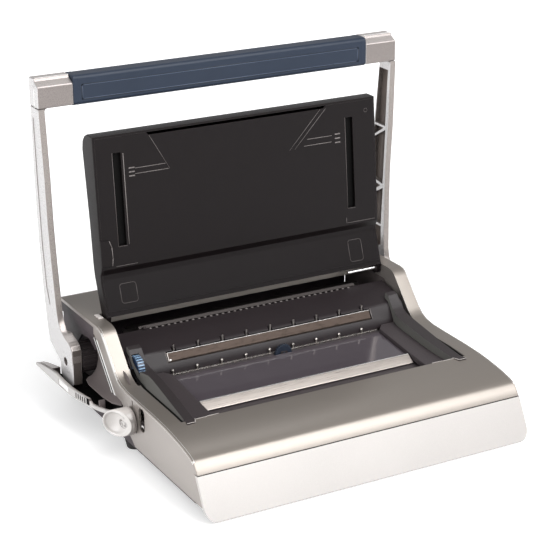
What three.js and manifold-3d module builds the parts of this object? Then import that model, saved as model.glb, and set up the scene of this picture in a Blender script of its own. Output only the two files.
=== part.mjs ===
// Desk wire binding machine, opened for work: the lid leans back and the handle stands up.
// Millimetres, +Z up. While it is modelled, z = 0 is FOOT_DEPTH above the table, and y runs back
// from the front corners of the side panels. The whole machine is then moved so that its origin is
// the bottom centre of its box.
import * as THREE from 'three';
import { mergeVertices } from 'three/addons/utils/BufferGeometryUtils.js';
import Module from 'manifold-3d';

const wasm = await Module();
wasm.setup();

// Driving dimensions of the body
const FRONT_Y = -6.6;
const GUARD_REAR_Y = 420;
const FOOT_DEPTH = 9;
const BODY_HALF_WIDTH = 220;
const WALL = 3;
const GAP = 0.3;
const BODY_REAR_Y = 412;
const PANEL_BOTTOM_Z = 6.6;
const SEAM_Y = 19;
const SEAM_Z = 42;
const DECK_Z = 70;
const TOWER_Z = 126;

// Opening in the deck, and between the two towers behind it
const OPENING_HALF_WIDTH = 197.2;
const OPENING_FRONT_Y = 103;
const OPENING_REAR_Y = 326;
const TOWER_INNER_X = 200.4;
const TRAY_HALF_WIDTH = 196.8;

// Handle and its cross shaft
const PIVOT_Y = 335;
const PIVOT_Z = 70;
const SHAFT_RADIUS = 8;
const HANDLE_OUTER_X = 252.3;
const ARM_OUTER_X = 242.9;
const ARM_INNER_X = 234.3;
const FOOT_INNER_X = 229.3;
const ARM_LEAN = 0.031;
const HEEL_Y = 337;
const HEEL_Z = 71.5;
const HEEL_RADIUS = 21;
const SCREW_Y = 338;
const SCREW_Z = 66.5;
const GRIP_HALF_LENGTH = 206.3;
const GRIP_LOW_Z = 385.5;
const GRIP_TOP_Z = 421.6;
const GRIP_FRONT_Y = 361;
const GRIP_REAR_Y = 388;

// Punch: square holes at three to the inch
const HOLE_PITCH = 25.4 / 3;
const HOLE_COUNT = 34;
const PUNCH_SIDE = 4;
const PUNCH_STROKE = 8;
const CLOSER_STROKE = 4;
const PUNCH_Z = 96;
const THROAT_FRONT_Y = 299.6;
const THROAT_REAR_Y = 302.6;
const THROAT_FLOOR_Z = 91;
const DIE_THICKNESS = 3;
const GUIDE_THICKNESS = 5;
const PLATE_HALF_WIDTH = 157;
const BED_TOP_Z = 66;
const CAM_BASE = 10;

// Hooks and pins stand at every fourth hole
const HOOK_PITCH = 4 * HOLE_PITCH;
const HOOK_COUNT = 9;
const HOOK_SHIFT = -9;
const PIN_SHIFT = 0.4;

// Lid and its hinge
const LID_HALF_WIDTH = 199;
const LID_HINGE_Y = 312;
const LID_HINGE_Z = 119;
const LID_PIN_RADIUS = 3;
const LID_WALL = 2.8;

// Size knob on the left side
const KNOB_Y = 190;
const KNOB_Z = 41;
const KNOB_RADIUS = 17.3;
const KNOB_LENGTH = 28;

// Edge guide dial in the left cheek, and the thumbwheel between the middle hooks
const DIAL_X = -188;
const DIAL_Y = 243;
const DIAL_Z = 82;
const DIAL_RADIUS = 15;
const WHEEL_X = 7.3;
const WHEEL_Z = 66;
const WHEEL_RADIUS = 11.5;

// Waste drawer and base
const DRAWER_HALF_WIDTH = 186;
const DRAWER_REAR_Y = 290;
const DRAWER_FLOOR_Z = 6.5;
const DRAWER_TOP_Z = 41.4;
const DRAWER_FRONT_Z = -7.5;
const BASE_Z = 2;
const BASE_TOP_Z = 5;

const machine = new THREE.Group();
machine.position.set(0, -(FRONT_Y + GUARD_REAR_Y) / 2, FOOT_DEPTH);

// Colours and finishes
function finish(color, roughness, metalness) {
  return { color, roughness, metalness };
}
const SILVER = finish(0xb3aca4, 0.42, 0.35);
const DARK_SHELL = finish(0x4a4444, 0.55, 0.0);
const LID_BLACK = finish(0x322c2c, 0.5, 0.0);
const SIDE_GREY = finish(0x575259, 0.5, 0.0);
const GLOSS_GREY = finish(0x5a5459, 0.12, 0.0);
const GRIP_BLUE = finish(0x3f4c60, 0.5, 0.0);
const DIAL_BLUE = finish(0x4c6f99, 0.4, 0.0);
const STEEL = finish(0xa8a39d, 0.3, 1.0);
const TOOL_STEEL = finish(0x8a8783, 0.35, 1.0);
const RUBBER = finish(0x1c1b1b, 0.9, 0.0);
const KNOB_WHITE = finish(0xe8e4e0, 0.4, 0.0);

// Turning a geometry into a solid, and a solid back into a named mesh
function solid(geometry) {
  const plain = geometry.clone();
  plain.deleteAttribute('normal');
  plain.deleteAttribute('uv');
  const merged = mergeVertices(plain, 1e-4);
  return new wasm.Manifold(new wasm.Mesh({
    numProp: 3,
    vertProperties: new Float32Array(merged.attributes.position.array),
    triVerts: new Uint32Array(merged.index.array),
  }));
}

function addPart(name, shape, look) {
  const found = shape.getMesh();
  const geometry = new THREE.BufferGeometry();
  geometry.setAttribute('position', new THREE.BufferAttribute(new Float32Array(found.vertProperties), 3));
  geometry.setIndex(new THREE.BufferAttribute(new Uint32Array(found.triVerts), 1));
  geometry.computeVertexNormals();
  const mesh = new THREE.Mesh(geometry, new THREE.MeshStandardMaterial(look));
  mesh.name = name;
  machine.add(mesh);
}

function join(...shapes) {
  return shapes.reduce((whole, next) => whole.add(next));
}

function cut(shape, ...tools) {
  return tools.reduce((whole, tool) => whole.subtract(tool), shape);
}

function spread(count, pitch, shift, make) {
  return Array.from({ length: count }, (_, i) => make((i - (count - 1) / 2) * pitch + shift));
}

// Outlines
function outline(points) {
  return new THREE.Shape(points.map(([a, b]) => new THREE.Vector2(a, b)));
}

function roundedRectangle(x0, y0, x1, y1, r) {
  const shape = new THREE.Shape();
  shape.moveTo(x0 + r, y0);
  shape.lineTo(x1 - r, y0);
  shape.absarc(x1 - r, y0 + r, r, -Math.PI / 2, 0);
  shape.lineTo(x1, y1 - r);
  shape.absarc(x1 - r, y1 - r, r, 0, Math.PI / 2);
  shape.lineTo(x0 + r, y1);
  shape.absarc(x0 + r, y1 - r, r, Math.PI / 2, Math.PI);
  shape.lineTo(x0, y0 + r);
  shape.absarc(x0 + r, y0 + r, r, Math.PI, 1.5 * Math.PI);
  return shape;
}

const SIDE_VIEW = new THREE.Matrix4().makeBasis(
  new THREE.Vector3(0, 1, 0), new THREE.Vector3(0, 0, 1), new THREE.Vector3(1, 0, 0));
const FRONT_VIEW = new THREE.Matrix4().makeBasis(
  new THREE.Vector3(1, 0, 0), new THREE.Vector3(0, 0, 1), new THREE.Vector3(0, -1, 0));

function extrude(shape, depth, edge, segments) {
  return new THREE.ExtrudeGeometry(shape, {
    depth: depth - 2 * edge,
    bevelEnabled: edge > 0,
    bevelThickness: edge,
    bevelSize: edge,
    bevelOffset: -edge,
    bevelSegments: 2,
    curveSegments: segments,
  }).translate(0, 0, edge);
}

// A side-view outline (y, z) swept from x0 to x1
function alongX(shape, x0, x1, edge = 0, segments = 4) {
  return solid(extrude(shape, x1 - x0, edge, segments).applyMatrix4(SIDE_VIEW).translate(x0, 0, 0));
}

// A front-view outline (x, z) swept from y0 to y1
function alongY(shape, y0, y1, edge = 0, segments = 4) {
  return solid(extrude(shape, y1 - y0, edge, segments).applyMatrix4(FRONT_VIEW).translate(0, y1, 0));
}

// A plan outline (x, y) swept from z0 to z1
function alongZ(shape, z0, z1, edge = 0, segments = 4) {
  return solid(extrude(shape, z1 - z0, edge, segments).translate(0, 0, z0));
}

function block(x0, x1, y0, y1, z0, z1) {
  return solid(new THREE.BoxGeometry(x1 - x0, y1 - y0, z1 - z0)
    .translate((x0 + x1) / 2, (y0 + y1) / 2, (z0 + z1) / 2));
}

function rodX(x0, x1, y, z, r, sides = 24) {
  return solid(new THREE.CylinderGeometry(r, r, x1 - x0, sides).rotateZ(-Math.PI / 2)
    .translate((x0 + x1) / 2, y, z));
}

function rodY(x, y0, y1, z, r, sides = 24) {
  return solid(new THREE.CylinderGeometry(r, r, y1 - y0, sides).translate(x, (y0 + y1) / 2, z));
}

// A rod along Z, of radius r at the bottom and topRadius at the top
function rodZ(x, y, z0, z1, r, sides = 24, topRadius = r) {
  return solid(new THREE.CylinderGeometry(topRadius, r, z1 - z0, sides).rotateX(Math.PI / 2)
    .translate(x, y, (z0 + z1) / 2));
}

// The same solid moved, turned or mirrored by a matrix
function placed(shape, matrix) {
  const found = shape.getMesh();
  const positions = new THREE.BufferAttribute(new Float32Array(found.vertProperties), 3).applyMatrix4(matrix);
  const corners = new Uint32Array(found.triVerts);
  if (matrix.determinant() < 0) {
    for (let i = 0; i < corners.length; i += 3) {
      [corners[i], corners[i + 1]] = [corners[i + 1], corners[i]];
    }
  }
  return new wasm.Manifold(new wasm.Mesh({ numProp: 3, vertProperties: positions.array, triVerts: corners }));
}

const MIRROR = new THREE.Matrix4().makeScale(-1, 1, 1);

function mirrorX(shape) {
  return placed(shape, MIRROR);
}

function shifted(shape, x, y, z) {
  return placed(shape, new THREE.Matrix4().makeTranslation(x, y, z));
}

// The same piece on the left and, mirrored, on the right
function addOnBothSides(name, makeLeft, look) {
  addPart(`${name}_left`, makeLeft(), look);
  addPart(`${name}_right`, mirrorX(makeLeft()), look);
}

// Housing: deck, side panels, towers and rear deck in one silver moulding
const deckTop = [
  [27, 53.8], [31, 56.4], [38, 58.9], [50, 61.6], [63, 63.8], [82, 66.3], [103, 68.3], [135, 69.6],
  [175, DECK_Z], [206, 70.6], [222, 73], [232, 77.2], [240, 84],
];
const towerTop = [
  [271, 118], [275.5, 122.3], [281, 125], [288, TOWER_Z], [330, TOWER_Z], [402, TOWER_Z],
  [407.5, 124.8], [411, 121.6], [BODY_REAR_Y, 116],
];

function housingOutline() {
  return outline([
    [6, PANEL_BOTTOM_Z], [24.9, SEAM_Z], [SEAM_Y, SEAM_Z], [22, 47.5], ...deckTop, ...towerTop,
    [BODY_REAR_Y, 108], [298, 108], [236, 40], [212, 24], [186, PANEL_BOTTOM_Z],
  ]);
}

// Everything under the deck, as far up as the deck's own thickness
function underDeck() {
  const under = deckTop.slice(2, 9).map(([y, z]) => [y, z - WALL]);
  return outline([
    [-5, -5], [-5, SEAM_Z], [25.5, SEAM_Z], [31, 52.5], ...under, [420, DECK_Z - WALL], [420, -5],
  ]);
}

function insideTower() {
  return outline([
    [200, 60], [206, DECK_Z - WALL], [221.4, 69.8], [230.8, 73.9], [238.2, 78.5], [242.4, 82.2],
    [273.3, 116], [277.2, 119.7], [282, 122], [288.4, TOWER_Z - WALL], [330, TOWER_Z - WALL], [330, 100], [300, 60],
  ]);
}

function underRearDeck() {
  const rear = BODY_REAR_Y - WALL;
  return outline([
    [320, 60], [320, 112], [329, 112], [329, TOWER_Z - WALL], [401.6, TOWER_Z - WALL], [406.2, 122],
    [408.5, 119.9], [rear, 115.6], [rear, 60],
  ]);
}

function makeHousing() {
  const inside = BODY_HALF_WIDTH - WALL;
  const panel = [-BODY_HALF_WIDTH - 5, -BODY_HALF_WIDTH + 10];
  let body = alongX(housingOutline(), -BODY_HALF_WIDTH, BODY_HALF_WIDTH, 2);
  body = cut(body, alongX(underDeck(), -inside, inside), alongX(underRearDeck(), -inside, inside));
  const tower = alongX(insideTower(), TOWER_INNER_X + WALL, inside);
  body = cut(body, tower, mirrorX(tower));
  const hingeHole = rodX(198, 206, LID_HINGE_Y, LID_HINGE_Z, LID_PIN_RADIUS + GAP);
  body = cut(body, hingeHole, mirrorX(hingeHole));
  const opening = roundedRectangle(-OPENING_HALF_WIDTH, OPENING_FRONT_Y, OPENING_HALF_WIDTH, 240, 1);
  const between = block(-TOWER_INNER_X, TOWER_INNER_X, 214, OPENING_REAR_Y, 0, 200);
  const window = alongX(roundedRectangle(155, 37, 171, 66, 6), ...panel);
  const slit = block(...panel, 187.6, 190, 59, 66.5);
  const knobHole = rodX(...panel, KNOB_Y, KNOB_Z, 5);
  const rebate = alongX(outline([[300, 112], [238, 44], [234, 44], [296, 112]]),
    -BODY_HALF_WIDTH - 1, -BODY_HALF_WIDTH + 1.2);
  return cut(body, alongZ(opening, 0, 200), between, window, slit, knobHole, rebate, mirrorX(rebate));
}

// Base pan with side skirts, and its rubber feet
function makeBasePan() {
  const plan = roundedRectangle(-216.5, 27, 216.5, 399.5, 6);
  const skirt = block(-216.5, -213.5, 192, 394, BASE_TOP_Z - 1, 24);
  return join(alongZ(plan, BASE_Z, BASE_TOP_Z), skirt, mirrorX(skirt));
}

const FOOT_PLACES = { front: [190, 48], middle: [205, 218.5], rear: [195, 380] };
const FOOT_RADIUS = 10;
const FOOT_TOP_RADIUS = 12.5;

// Side plates carry the cross shaft, and stand back from the silver panels
function makeSidePlate() {
  const side = outline([
    [182, BASE_TOP_Z + GAP], [405, BASE_TOP_Z + GAP], [405, 119], [322, 119], [322, 107], [296, 107],
    [262, 66], [206, 66], [182, 52],
  ]);
  return cut(
    alongX(side, -208, -204),
    rodX(-210, -200, PIVOT_Y, PIVOT_Z, 12),
    rodX(-210, -200, KNOB_Y, KNOB_Z, 5));
}

function makeBackCover() {
  const vents = spread(7, 40, 0, (x) => block(x - 14, x + 14, 400, 412, 84, 87));
  return cut(block(-203.7, 203.7, 405.3, 408.3, BASE_TOP_Z + GAP, 115), ...vents);
}

// Bearings: a bush in each side plate and a ribbed boss outside it
function makeBush() {
  const ring = join(rodX(-208, -199, PIVOT_Y, PIVOT_Z, 11.7), rodX(-203.7, -199, PIVOT_Y, PIVOT_Z, 15));
  return cut(ring, rodX(-215, -195, PIVOT_Y, PIVOT_Z, SHAFT_RADIUS + 0.4));
}

const BOSS_RIBS = 20;
function makeBoss() {
  const ribs = Array.from({ length: BOSS_RIBS }, (_, i) => solid(
    new THREE.BoxGeometry(18, 2.4, 3).translate(0, 0, 18.6).rotateX((i / BOSS_RIBS) * 2 * Math.PI)
      .translate(-217.7, PIVOT_Y, PIVOT_Z)));
  const boss = join(rodX(-228.4, -208.3, PIVOT_Y, PIVOT_Z, 18.5, 30), ...ribs);
  return cut(boss, rodX(-230, -200, PIVOT_Y, PIVOT_Z, SHAFT_RADIUS + 0.5));
}

// Room for the thumbwheel in the tray, and for the edge dial in the cover and the left cheek
function wheelSlot() {
  return block(WHEEL_X - 12.9, WHEEL_X + 12.9, 225.8, 240, 50, 80);
}

function dialWell() {
  const axle = rodX(DIAL_X - 7.4, DIAL_X + 7.4, DIAL_Y, DIAL_Z, 2.9, 12);
  return join(block(DIAL_X - 4.6, DIAL_X + 4.6, 227, 259, 66.5, 120), axle);
}

// Work tray: front wall, floor and the shelf that the plate lies on
const trayTop = [
  [103.8, 66.2], [106.2, 56.4], [110, 54.6], [140, 52.6], [158, 53.4], [160.5, 57.6], [226, 65], [232.3, 66],
];

function makeTray() {
  const under = trayTop.map(([y, z]) => [y, z - 2.6]).reverse();
  const tray = alongX(outline([...trayTop, ...under]), -TRAY_HALF_WIDTH, TRAY_HALF_WIDTH);
  return cut(tray, wheelSlot());
}

// Punch cover: the slanted face in front of the throat, with the closer's slot
const faceLow = [241.5, 79.7];
const faceHigh = [249.4, 91.4];
const faceLength = Math.hypot(faceHigh[0] - faceLow[0], faceHigh[1] - faceLow[1]);
const faceAlong = [(faceHigh[0] - faceLow[0]) / faceLength, (faceHigh[1] - faceLow[1]) / faceLength];
const faceOut = [-faceAlong[1], faceAlong[0]];

// A point given along the slanted face and outwards from it
function onFace(along, out) {
  return [
    faceLow[0] + faceAlong[0] * along + faceOut[0] * out,
    faceLow[1] + faceAlong[1] * along + faceOut[1] * out,
  ];
}

function makePunchCover() {
  const top = [[236.7, 66.6], [237.4, 73.6], faceLow, faceHigh, [253, 94.5], [278, 102.5], [299, 105.6]];
  const under = [
    [299, 102.8], [278.4, 99.7], [254.2, 91.9], [251.7, 89.8], [244, 78.4], [240.2, 72.8], [239.5, 66.6],
  ];
  const slot = outline([onFace(0, 8), onFace(faceLength, 8), onFace(faceLength, -6), onFace(0, -6)]);
  const pinNotches = spread(HOOK_COUNT, HOOK_PITCH, PIN_SHIFT, (x) => block(x - 2.8, x + 2.8, 244, 254.4, 86, 104));
  const holeNotches = spread(HOLE_COUNT, HOLE_PITCH, 0, (x) => block(x - 2.2, x + 2.2, 296.6, 300, 98, 110));
  return cut(
    alongX(outline([...top, ...under]), -TRAY_HALF_WIDTH, TRAY_HALF_WIDTH),
    alongX(slot, -146.5, 146.5),
    ...pinNotches,
    ...holeNotches,
    dialWell());
}

// Cheeks: the sloping walls left and right of the tray, each with a low inner ramp; they are narrower
// at the back, where they rise to the throat
function makeCheek() {
  const seat = [
    [106.8, 57], [110.4, 55], [140, 53], [157.8, 53.8], [160.1, 58], [226, 65.4],
  ];
  const wedge = outline([
    ...seat, [236.2, 66.9], [237, 74], [241, 80.2], [248.9, 91.9], [252.7, 95.1], [259, 97.3], [259, 105],
    [252, 103], [241, 90], [228, 83], [150, 73], [108, 68], [104.9, 67.2],
  ]);
  const ramp = outline([...seat, [226, 71], [160, 63.8], [128, 60.8], [107.2, 60.8]]);
  const waist = alongZ(outline([[-176, 262], [-176, 240], [-171, 226], [-160, 226], [-160, 262]]), 50, 120);
  return join(cut(alongX(wedge, -196.5, -172, 1), waist), alongX(ramp, -174, -152));
}

function makeDialCheek() {
  return cut(makeCheek(), dialWell());
}

// Die plate, guide plate and the bed that carries them
const DIE_REAR_Y = THROAT_FRONT_Y - 0.2;
const DIE_FRONT_Y = DIE_REAR_Y - DIE_THICKNESS;
const GUIDE_REAR_Y = THROAT_REAR_Y + GUIDE_THICKNESS;

function squareHoles(y0, y1) {
  const half = PUNCH_SIDE / 2 + GAP;
  return spread(HOLE_COUNT, HOLE_PITCH, 0, (x) => block(x - half, x + half, y0, y1, PUNCH_Z - half, PUNCH_Z + half));
}

function makeDiePlate() {
  const plate = block(-PLATE_HALF_WIDTH, PLATE_HALF_WIDTH, DIE_FRONT_Y, DIE_REAR_Y, BED_TOP_Z, 102.4);
  return cut(plate, ...squareHoles(DIE_FRONT_Y - 2, DIE_REAR_Y + 2));
}

function makeGuidePlate() {
  const section = outline([
    [THROAT_FRONT_Y, BED_TOP_Z], [GUIDE_REAR_Y, BED_TOP_Z], [GUIDE_REAR_Y, 107], [GUIDE_REAR_Y - 2, 107],
    [THROAT_REAR_Y, 104.5], [THROAT_REAR_Y, THROAT_FLOOR_Z], [THROAT_FRONT_Y, THROAT_FLOOR_Z],
  ]);
  const plate = alongX(section, -PLATE_HALF_WIDTH, PLATE_HALF_WIDTH);
  return cut(plate, ...squareHoles(THROAT_REAR_Y - 1, GUIDE_REAR_Y + 2));
}

// The bed reaches the side plates in front of the shaft's bushes, and is deeper between them
function makePunchBed() {
  const beam = block(-203.7, 203.7, DIE_FRONT_Y, 303, BED_TOP_Z - 8, BED_TOP_Z);
  return join(beam, block(-198.5, 198.5, DIE_FRONT_Y, 309, BED_TOP_Z - 8, BED_TOP_Z));
}

// Punch comb: a bar with one square punch for each hole, and a tab at each end for the cams
function makePunchComb() {
  const half = PUNCH_SIDE / 2;
  const tabRearY = PIVOT_Y - CAM_BASE - 1.9;
  const punches = spread(HOLE_COUNT, HOLE_PITCH, 0,
    (x) => block(x - half, x + half, THROAT_REAR_Y + 0.6, 322, PUNCH_Z - half, PUNCH_Z + half));
  const strap = block(-163.5, -158, tabRearY - 5, 322, 94, 100);
  const tab = block(-172, -158, tabRearY - 5, tabRearY, PIVOT_Z - 6, 100);
  return join(block(-163.5, 163.5, 321, 331, 90, 100), ...punches, strap, mirrorX(strap), tab, mirrorX(tab));
}

// A cam outline: its radius grows evenly over a turn, and then falls back to the base circle
function camOutline(base, growth, turn, start, direction) {
  const growSteps = 12;
  const fallSteps = 12;
  const points = [];
  for (let i = 0; i <= growSteps; i += 1) {
    const part = i / growSteps;
    points.push([start + direction * turn * part, base + growth * part]);
  }
  for (let i = 1; i < fallSteps; i += 1) {
    const part = i / fallSteps;
    const angle = start + direction * (turn + (2 * Math.PI - turn) * part);
    points.push([angle, base + growth * Math.max(0, 1 - 4 * part)]);
  }
  return outline(points.map(([angle, r]) => [r * Math.cos(angle), r * Math.sin(angle)]));
}

// Two lobes on one hub: the outer one pushes the closer's legs, the inner one the punch comb
function makeShaftCam() {
  const quarter = Math.PI / 2;
  const punchLobe = alongX(camOutline(CAM_BASE, PUNCH_STROKE, quarter, Math.PI, -1), -171.5, -165.5);
  const closerLobe = alongX(camOutline(CAM_BASE, CLOSER_STROKE, quarter, Math.PI, -1), -182.5, -176.5);
  const hub = rodX(-182.5, -165.5, 0, 0, CAM_BASE - 0.3);
  const bored = cut(join(punchLobe, closerLobe, hub), rodX(-190, -160, 0, 0, SHAFT_RADIUS + GAP));
  return shifted(bored, 0, PIVOT_Y, PIVOT_Z);
}

// Closer jaw: a strip in the slanted slot with upright pins, and two legs back to the cams
const JAW_BAR_X = 183;
function makeCloserJaw() {
  const strip = outline([onFace(1, -1.6), onFace(faceLength - 1, -1.6), onFace(faceLength - 1, -4.1), onFace(1, -4.1)]);
  const pins = spread(HOOK_COUNT, HOOK_PITCH, PIN_SHIFT, (x) => rodZ(x, 250.6, 87, 98.9, 1.1, 8));
  const web = alongX(outline([[246, 78.6], [250.6, 86], [262, 76], [262, 66], [256, 66]]), -124, -118);
  const leg = block(-183, -176, 258, PIVOT_Y - CAM_BASE - GAP, BED_TOP_Z + 0.4, PIVOT_Z + 1.5);
  const crossBar = block(-JAW_BAR_X, JAW_BAR_X, 256, 262, 60, 76);
  return join(alongX(strip, -145.4, 145.4), ...pins, web, mirrorX(web), leg, mirrorX(leg), crossBar);
}

// Stop finger: reaches from the jaw's bar under the edge dial to the closer stop
function makeStopFinger() {
  return block(-199.8, -JAW_BAR_X, 256, 262, 60, 63.6);
}

// Hook rail: a strip with nine stems, each with a ball on top
function makeHookRail() {
  const stems = spread(HOOK_COUNT, HOOK_PITCH, HOOK_SHIFT, (x) => rodZ(x, 234.7, 64, 72, 1, 6));
  const balls = spread(HOOK_COUNT, HOOK_PITCH, HOOK_SHIFT,
    (x) => solid(new THREE.SphereGeometry(2, 8, 6).translate(x, 234.7, 72)));
  return join(block(-150, 150, 233.2, 236.3, 59, 67), ...stems, ...balls);
}

// Thumbwheel: a ribbed disc on its axle, in a bracket under the tray
function makeRibbedWheel(radius, width, ribs, axleRadius, axleLength) {
  const teeth = Array.from({ length: ribs }, (_, i) => solid(
    new THREE.BoxGeometry(width, 1.5, 1.6).translate(0, 0, radius - 0.6).rotateX((i / ribs) * 2 * Math.PI)));
  return join(rodX(-width / 2, width / 2, 0, 0, radius - 1, 24),
    rodX(-axleLength / 2, axleLength / 2, 0, 0, axleRadius, 12), ...teeth);
}

const WHEEL_FRONT_Y = 227.5;
const WHEEL_REAR_Y = 231.1;
const WHEEL_AXLE = 1.6;
function makeThumbwheel() {
  const wheel = makeRibbedWheel(WHEEL_RADIUS, WHEEL_REAR_Y - WHEEL_FRONT_Y, 20, WHEEL_AXLE, 6.4);
  const upright = new THREE.Matrix4().makeRotationZ(Math.PI / 2);
  return placed(wheel, upright.setPosition(WHEEL_X, (WHEEL_FRONT_Y + WHEEL_REAR_Y) / 2, WHEEL_Z));
}

function makeWheelBracket() {
  const ear = (y0, y1) => block(WHEEL_X - 4.5, WHEEL_X + 4.5, y0, y1, 46, 69);
  const post = (x) => block(x - 2, x + 2, 226, 232.9, 46, 62);
  const floor = block(WHEEL_X - 24, WHEEL_X + 24, 226, 232.9, 46, 50);
  const bore = rodY(WHEEL_X, 220, 240, WHEEL_Z, WHEEL_AXLE + GAP, 12);
  const ears = join(ear(226, WHEEL_FRONT_Y - 0.4), ear(WHEEL_REAR_Y + 0.4, 232.9));
  return join(cut(ears, bore), floor, post(WHEEL_X - 22), post(WHEEL_X + 22));
}

// Brushed support bar and the glossy plate on the tray
function makeSupportBar() {
  const section = outline([
    [143.4, 54], [143.8, 55], [154.6, 61.9], [156.2, 62.3], [157.6, 61.4], [157.6, 54], [154, 53.4],
  ]);
  return alongX(section, -147.2, 147.2);
}

function makePlate() {
  return alongX(outline([[162.5, 58.2], [225.6, 65.3], [225.6, 66.6], [162.5, 59.5]]), -147.5, 147.5);
}

// Edge guide in the throat, with its dial in the left cheek
function makeEdgeGuide() {
  const x0 = -153.7;
  const x1 = -149.3;
  return join(block(x0, x1, 299.9, 302.3, THROAT_FLOOR_Z + 0.4, 107.4), block(x0, x1, 296.5, 302.3, 106.2, 107.4));
}

function makeEdgeDial() {
  return shifted(makeRibbedWheel(DIAL_RADIUS, 8.4, 24, 2.5, 14), DIAL_X, DIAL_Y, DIAL_Z);
}

// Waste drawer: the front panel with round lower corners, and the bin behind it
function makeDrawerFront() {
  const side = outline([
    [SEAM_Y - 0.5, SEAM_Z - 0.4], [FRONT_Y + 0.3, -5.4], [FRONT_Y, -6.2], [FRONT_Y + 0.5, -7.1],
    [FRONT_Y + 1.6, DRAWER_FRONT_Z], [-2.4, DRAWER_FRONT_Z], [-0.9, -5], [24.2, SEAM_Z - 0.4],
  ]);
  const front = new THREE.Shape();
  const r = 16;
  front.moveTo(-BODY_HALF_WIDTH + r, DRAWER_FRONT_Z);
  front.lineTo(BODY_HALF_WIDTH - r, DRAWER_FRONT_Z);
  front.absarc(BODY_HALF_WIDTH - r, DRAWER_FRONT_Z + r, r, -Math.PI / 2, 0);
  front.lineTo(BODY_HALF_WIDTH, 50);
  front.lineTo(-BODY_HALF_WIDTH, 50);
  front.lineTo(-BODY_HALF_WIDTH, DRAWER_FRONT_Z + r);
  front.absarc(-BODY_HALF_WIDTH + r, DRAWER_FRONT_Z + r, r, Math.PI, 1.5 * Math.PI);
  return alongX(side, -BODY_HALF_WIDTH, BODY_HALF_WIDTH).intersect(alongY(front, -10, 60, 0, 6));
}

function makeDrawerBin() {
  const w = DRAWER_HALF_WIDTH;
  const outer = outline([
    [5.7, DRAWER_FLOOR_Z], [DRAWER_REAR_Y, DRAWER_FLOOR_Z], [DRAWER_REAR_Y, DRAWER_TOP_Z], [24.4, DRAWER_TOP_Z],
  ]);
  const inner = outline([
    [9.4, DRAWER_FLOOR_Z + 2], [DRAWER_REAR_Y - 2, DRAWER_FLOOR_Z + 2], [DRAWER_REAR_Y - 2, 60], [36.9, 60],
  ]);
  return cut(alongX(outer, -w, w), alongX(inner, -w + 2, w - 2));
}

// Size knob with its shaft and cam, the stop that it moves and the indicator in the window
function makeKnob() {
  const outerX = -BODY_HALF_WIDTH - 2 - KNOB_LENGTH;
  const body = rodX(outerX, -BODY_HALF_WIDTH - 2, KNOB_Y, KNOB_Z, KNOB_RADIUS, 32);
  const slant = solid(new THREE.BoxGeometry(30, 80, 80).translate(-15, 0, 0)
    .rotateZ(THREE.MathUtils.degToRad(24)).translate(outerX + 5, KNOB_Y + 4, KNOB_Z));
  const dimple = solid(new THREE.SphereGeometry(20, 20, 14).translate(outerX - 6.9, KNOB_Y - 6.1, KNOB_Z));
  const bore = rodX(-236, -221, KNOB_Y, KNOB_Z, 4 + GAP);
  return cut(body, slant, dimple, bore);
}

function makeKnobShaft() {
  return rodX(-235.6, -196, KNOB_Y, KNOB_Z, 4);
}

function makeStopCam() {
  const lobe = alongX(camOutline(7, 6, 1.5 * Math.PI, 0, -1), -203, -197.4);
  return cut(shifted(lobe, 0, KNOB_Y, KNOB_Z), rodX(-210, -190, KNOB_Y, KNOB_Z, 4 + GAP));
}

function makeCloserStop() {
  return join(block(-203, -197.4, 197.5, 244, 36, 46), block(-203, -197.4, 238, 244, 36, 66));
}

function makeIndicator() {
  return join(block(-216.6, -214.4, 153.5, 172.5, 35, 47.5), block(-218.8, -216, 157, 169, 41, 45));
}

// Side guard under the left foot of the handle: a bow-shaped shelf. Its front half is an open pocket
// between the floor and a straight-edged top; its rear half is solid, with louvres and a window seat.
const GUARD_FLOOR_Z = 33;
const GUARD_TOP_Z = 49;
const GUARD_RAIL_X = -231;
const guardBow = [
  [-220.4, 214], [-228, 226], [-239, 249], [-246.5, 280], [-251, 310], [-252.3, 345], [-252.3, GUARD_REAR_Y - 1],
  [-251.3, GUARD_REAR_Y],
];

function makeSideGuard() {
  const plan = outline([...guardBow, [-240.5, GUARD_REAR_Y], [-236, 372], [-208.4, 366], [-208.4, 245.4], [-220.4, 245.4]]);
  const side = outline([
    [210, GUARD_FLOOR_Z], [GUARD_REAR_Y, GUARD_FLOOR_Z], [GUARD_REAR_Y, 36.5], [404, 41], [348, GUARD_TOP_Z],
    [210, GUARD_TOP_Z],
  ]);
  const shelf = alongZ(plan, GUARD_FLOOR_Z, GUARD_TOP_Z).intersect(alongX(side, -256, -205));
  const pocket = alongZ(outline([
    [-260, 205], [-212, 205], [-212, 302], [-243, 302], [-241.5, 265], [-260, 265],
  ]), GUARD_FLOOR_Z + 2.4, GUARD_TOP_Z - 2.4);
  const frontEdge = block(-260, GUARD_RAIL_X, 205, 265, GUARD_FLOOR_Z + 2.4, 60);
  const well = alongZ(outline([[GUARD_RAIL_X, 264], [-241.5, 264], [-244.5, 293], [GUARD_RAIL_X, 293]]), GUARD_TOP_Z - 4, 60);
  const divider = block(-236.5, -213, 246, 249.5, GUARD_FLOOR_Z + 1, GUARD_TOP_Z - 1);
  const hollow = join(pocket, frontEdge, well);
  const louvres = [273, 277.4, 281.8, 286.2, 290.6].map((y) => block(-260, -240, y, y + 1.8, 35.4, 47));
  const windowSeat = block(-260, -249.7, 311.6, 342.4, 35.6, 43.4);
  return join(cut(shelf, hollow, ...louvres, windowSeat), divider);
}

function makeGuardWindow() {
  return block(-251.8, -250, 312, 342, 36, 43);
}

// Handle: two channel arms with feet on the shaft, corner blocks and a grip
const ARM_TOP_REAR_Y = 391;
const armFront = [
  [359.6, 300], [361.6, 240], [360.6, 196], [358.6, 160], [356.6, 126], [353.6, 114], [347.5, 104.5], [338.6, 99.2],
  [326, 95.6], [319.4, 92.4], [316.2, 87.6],
];

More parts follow.
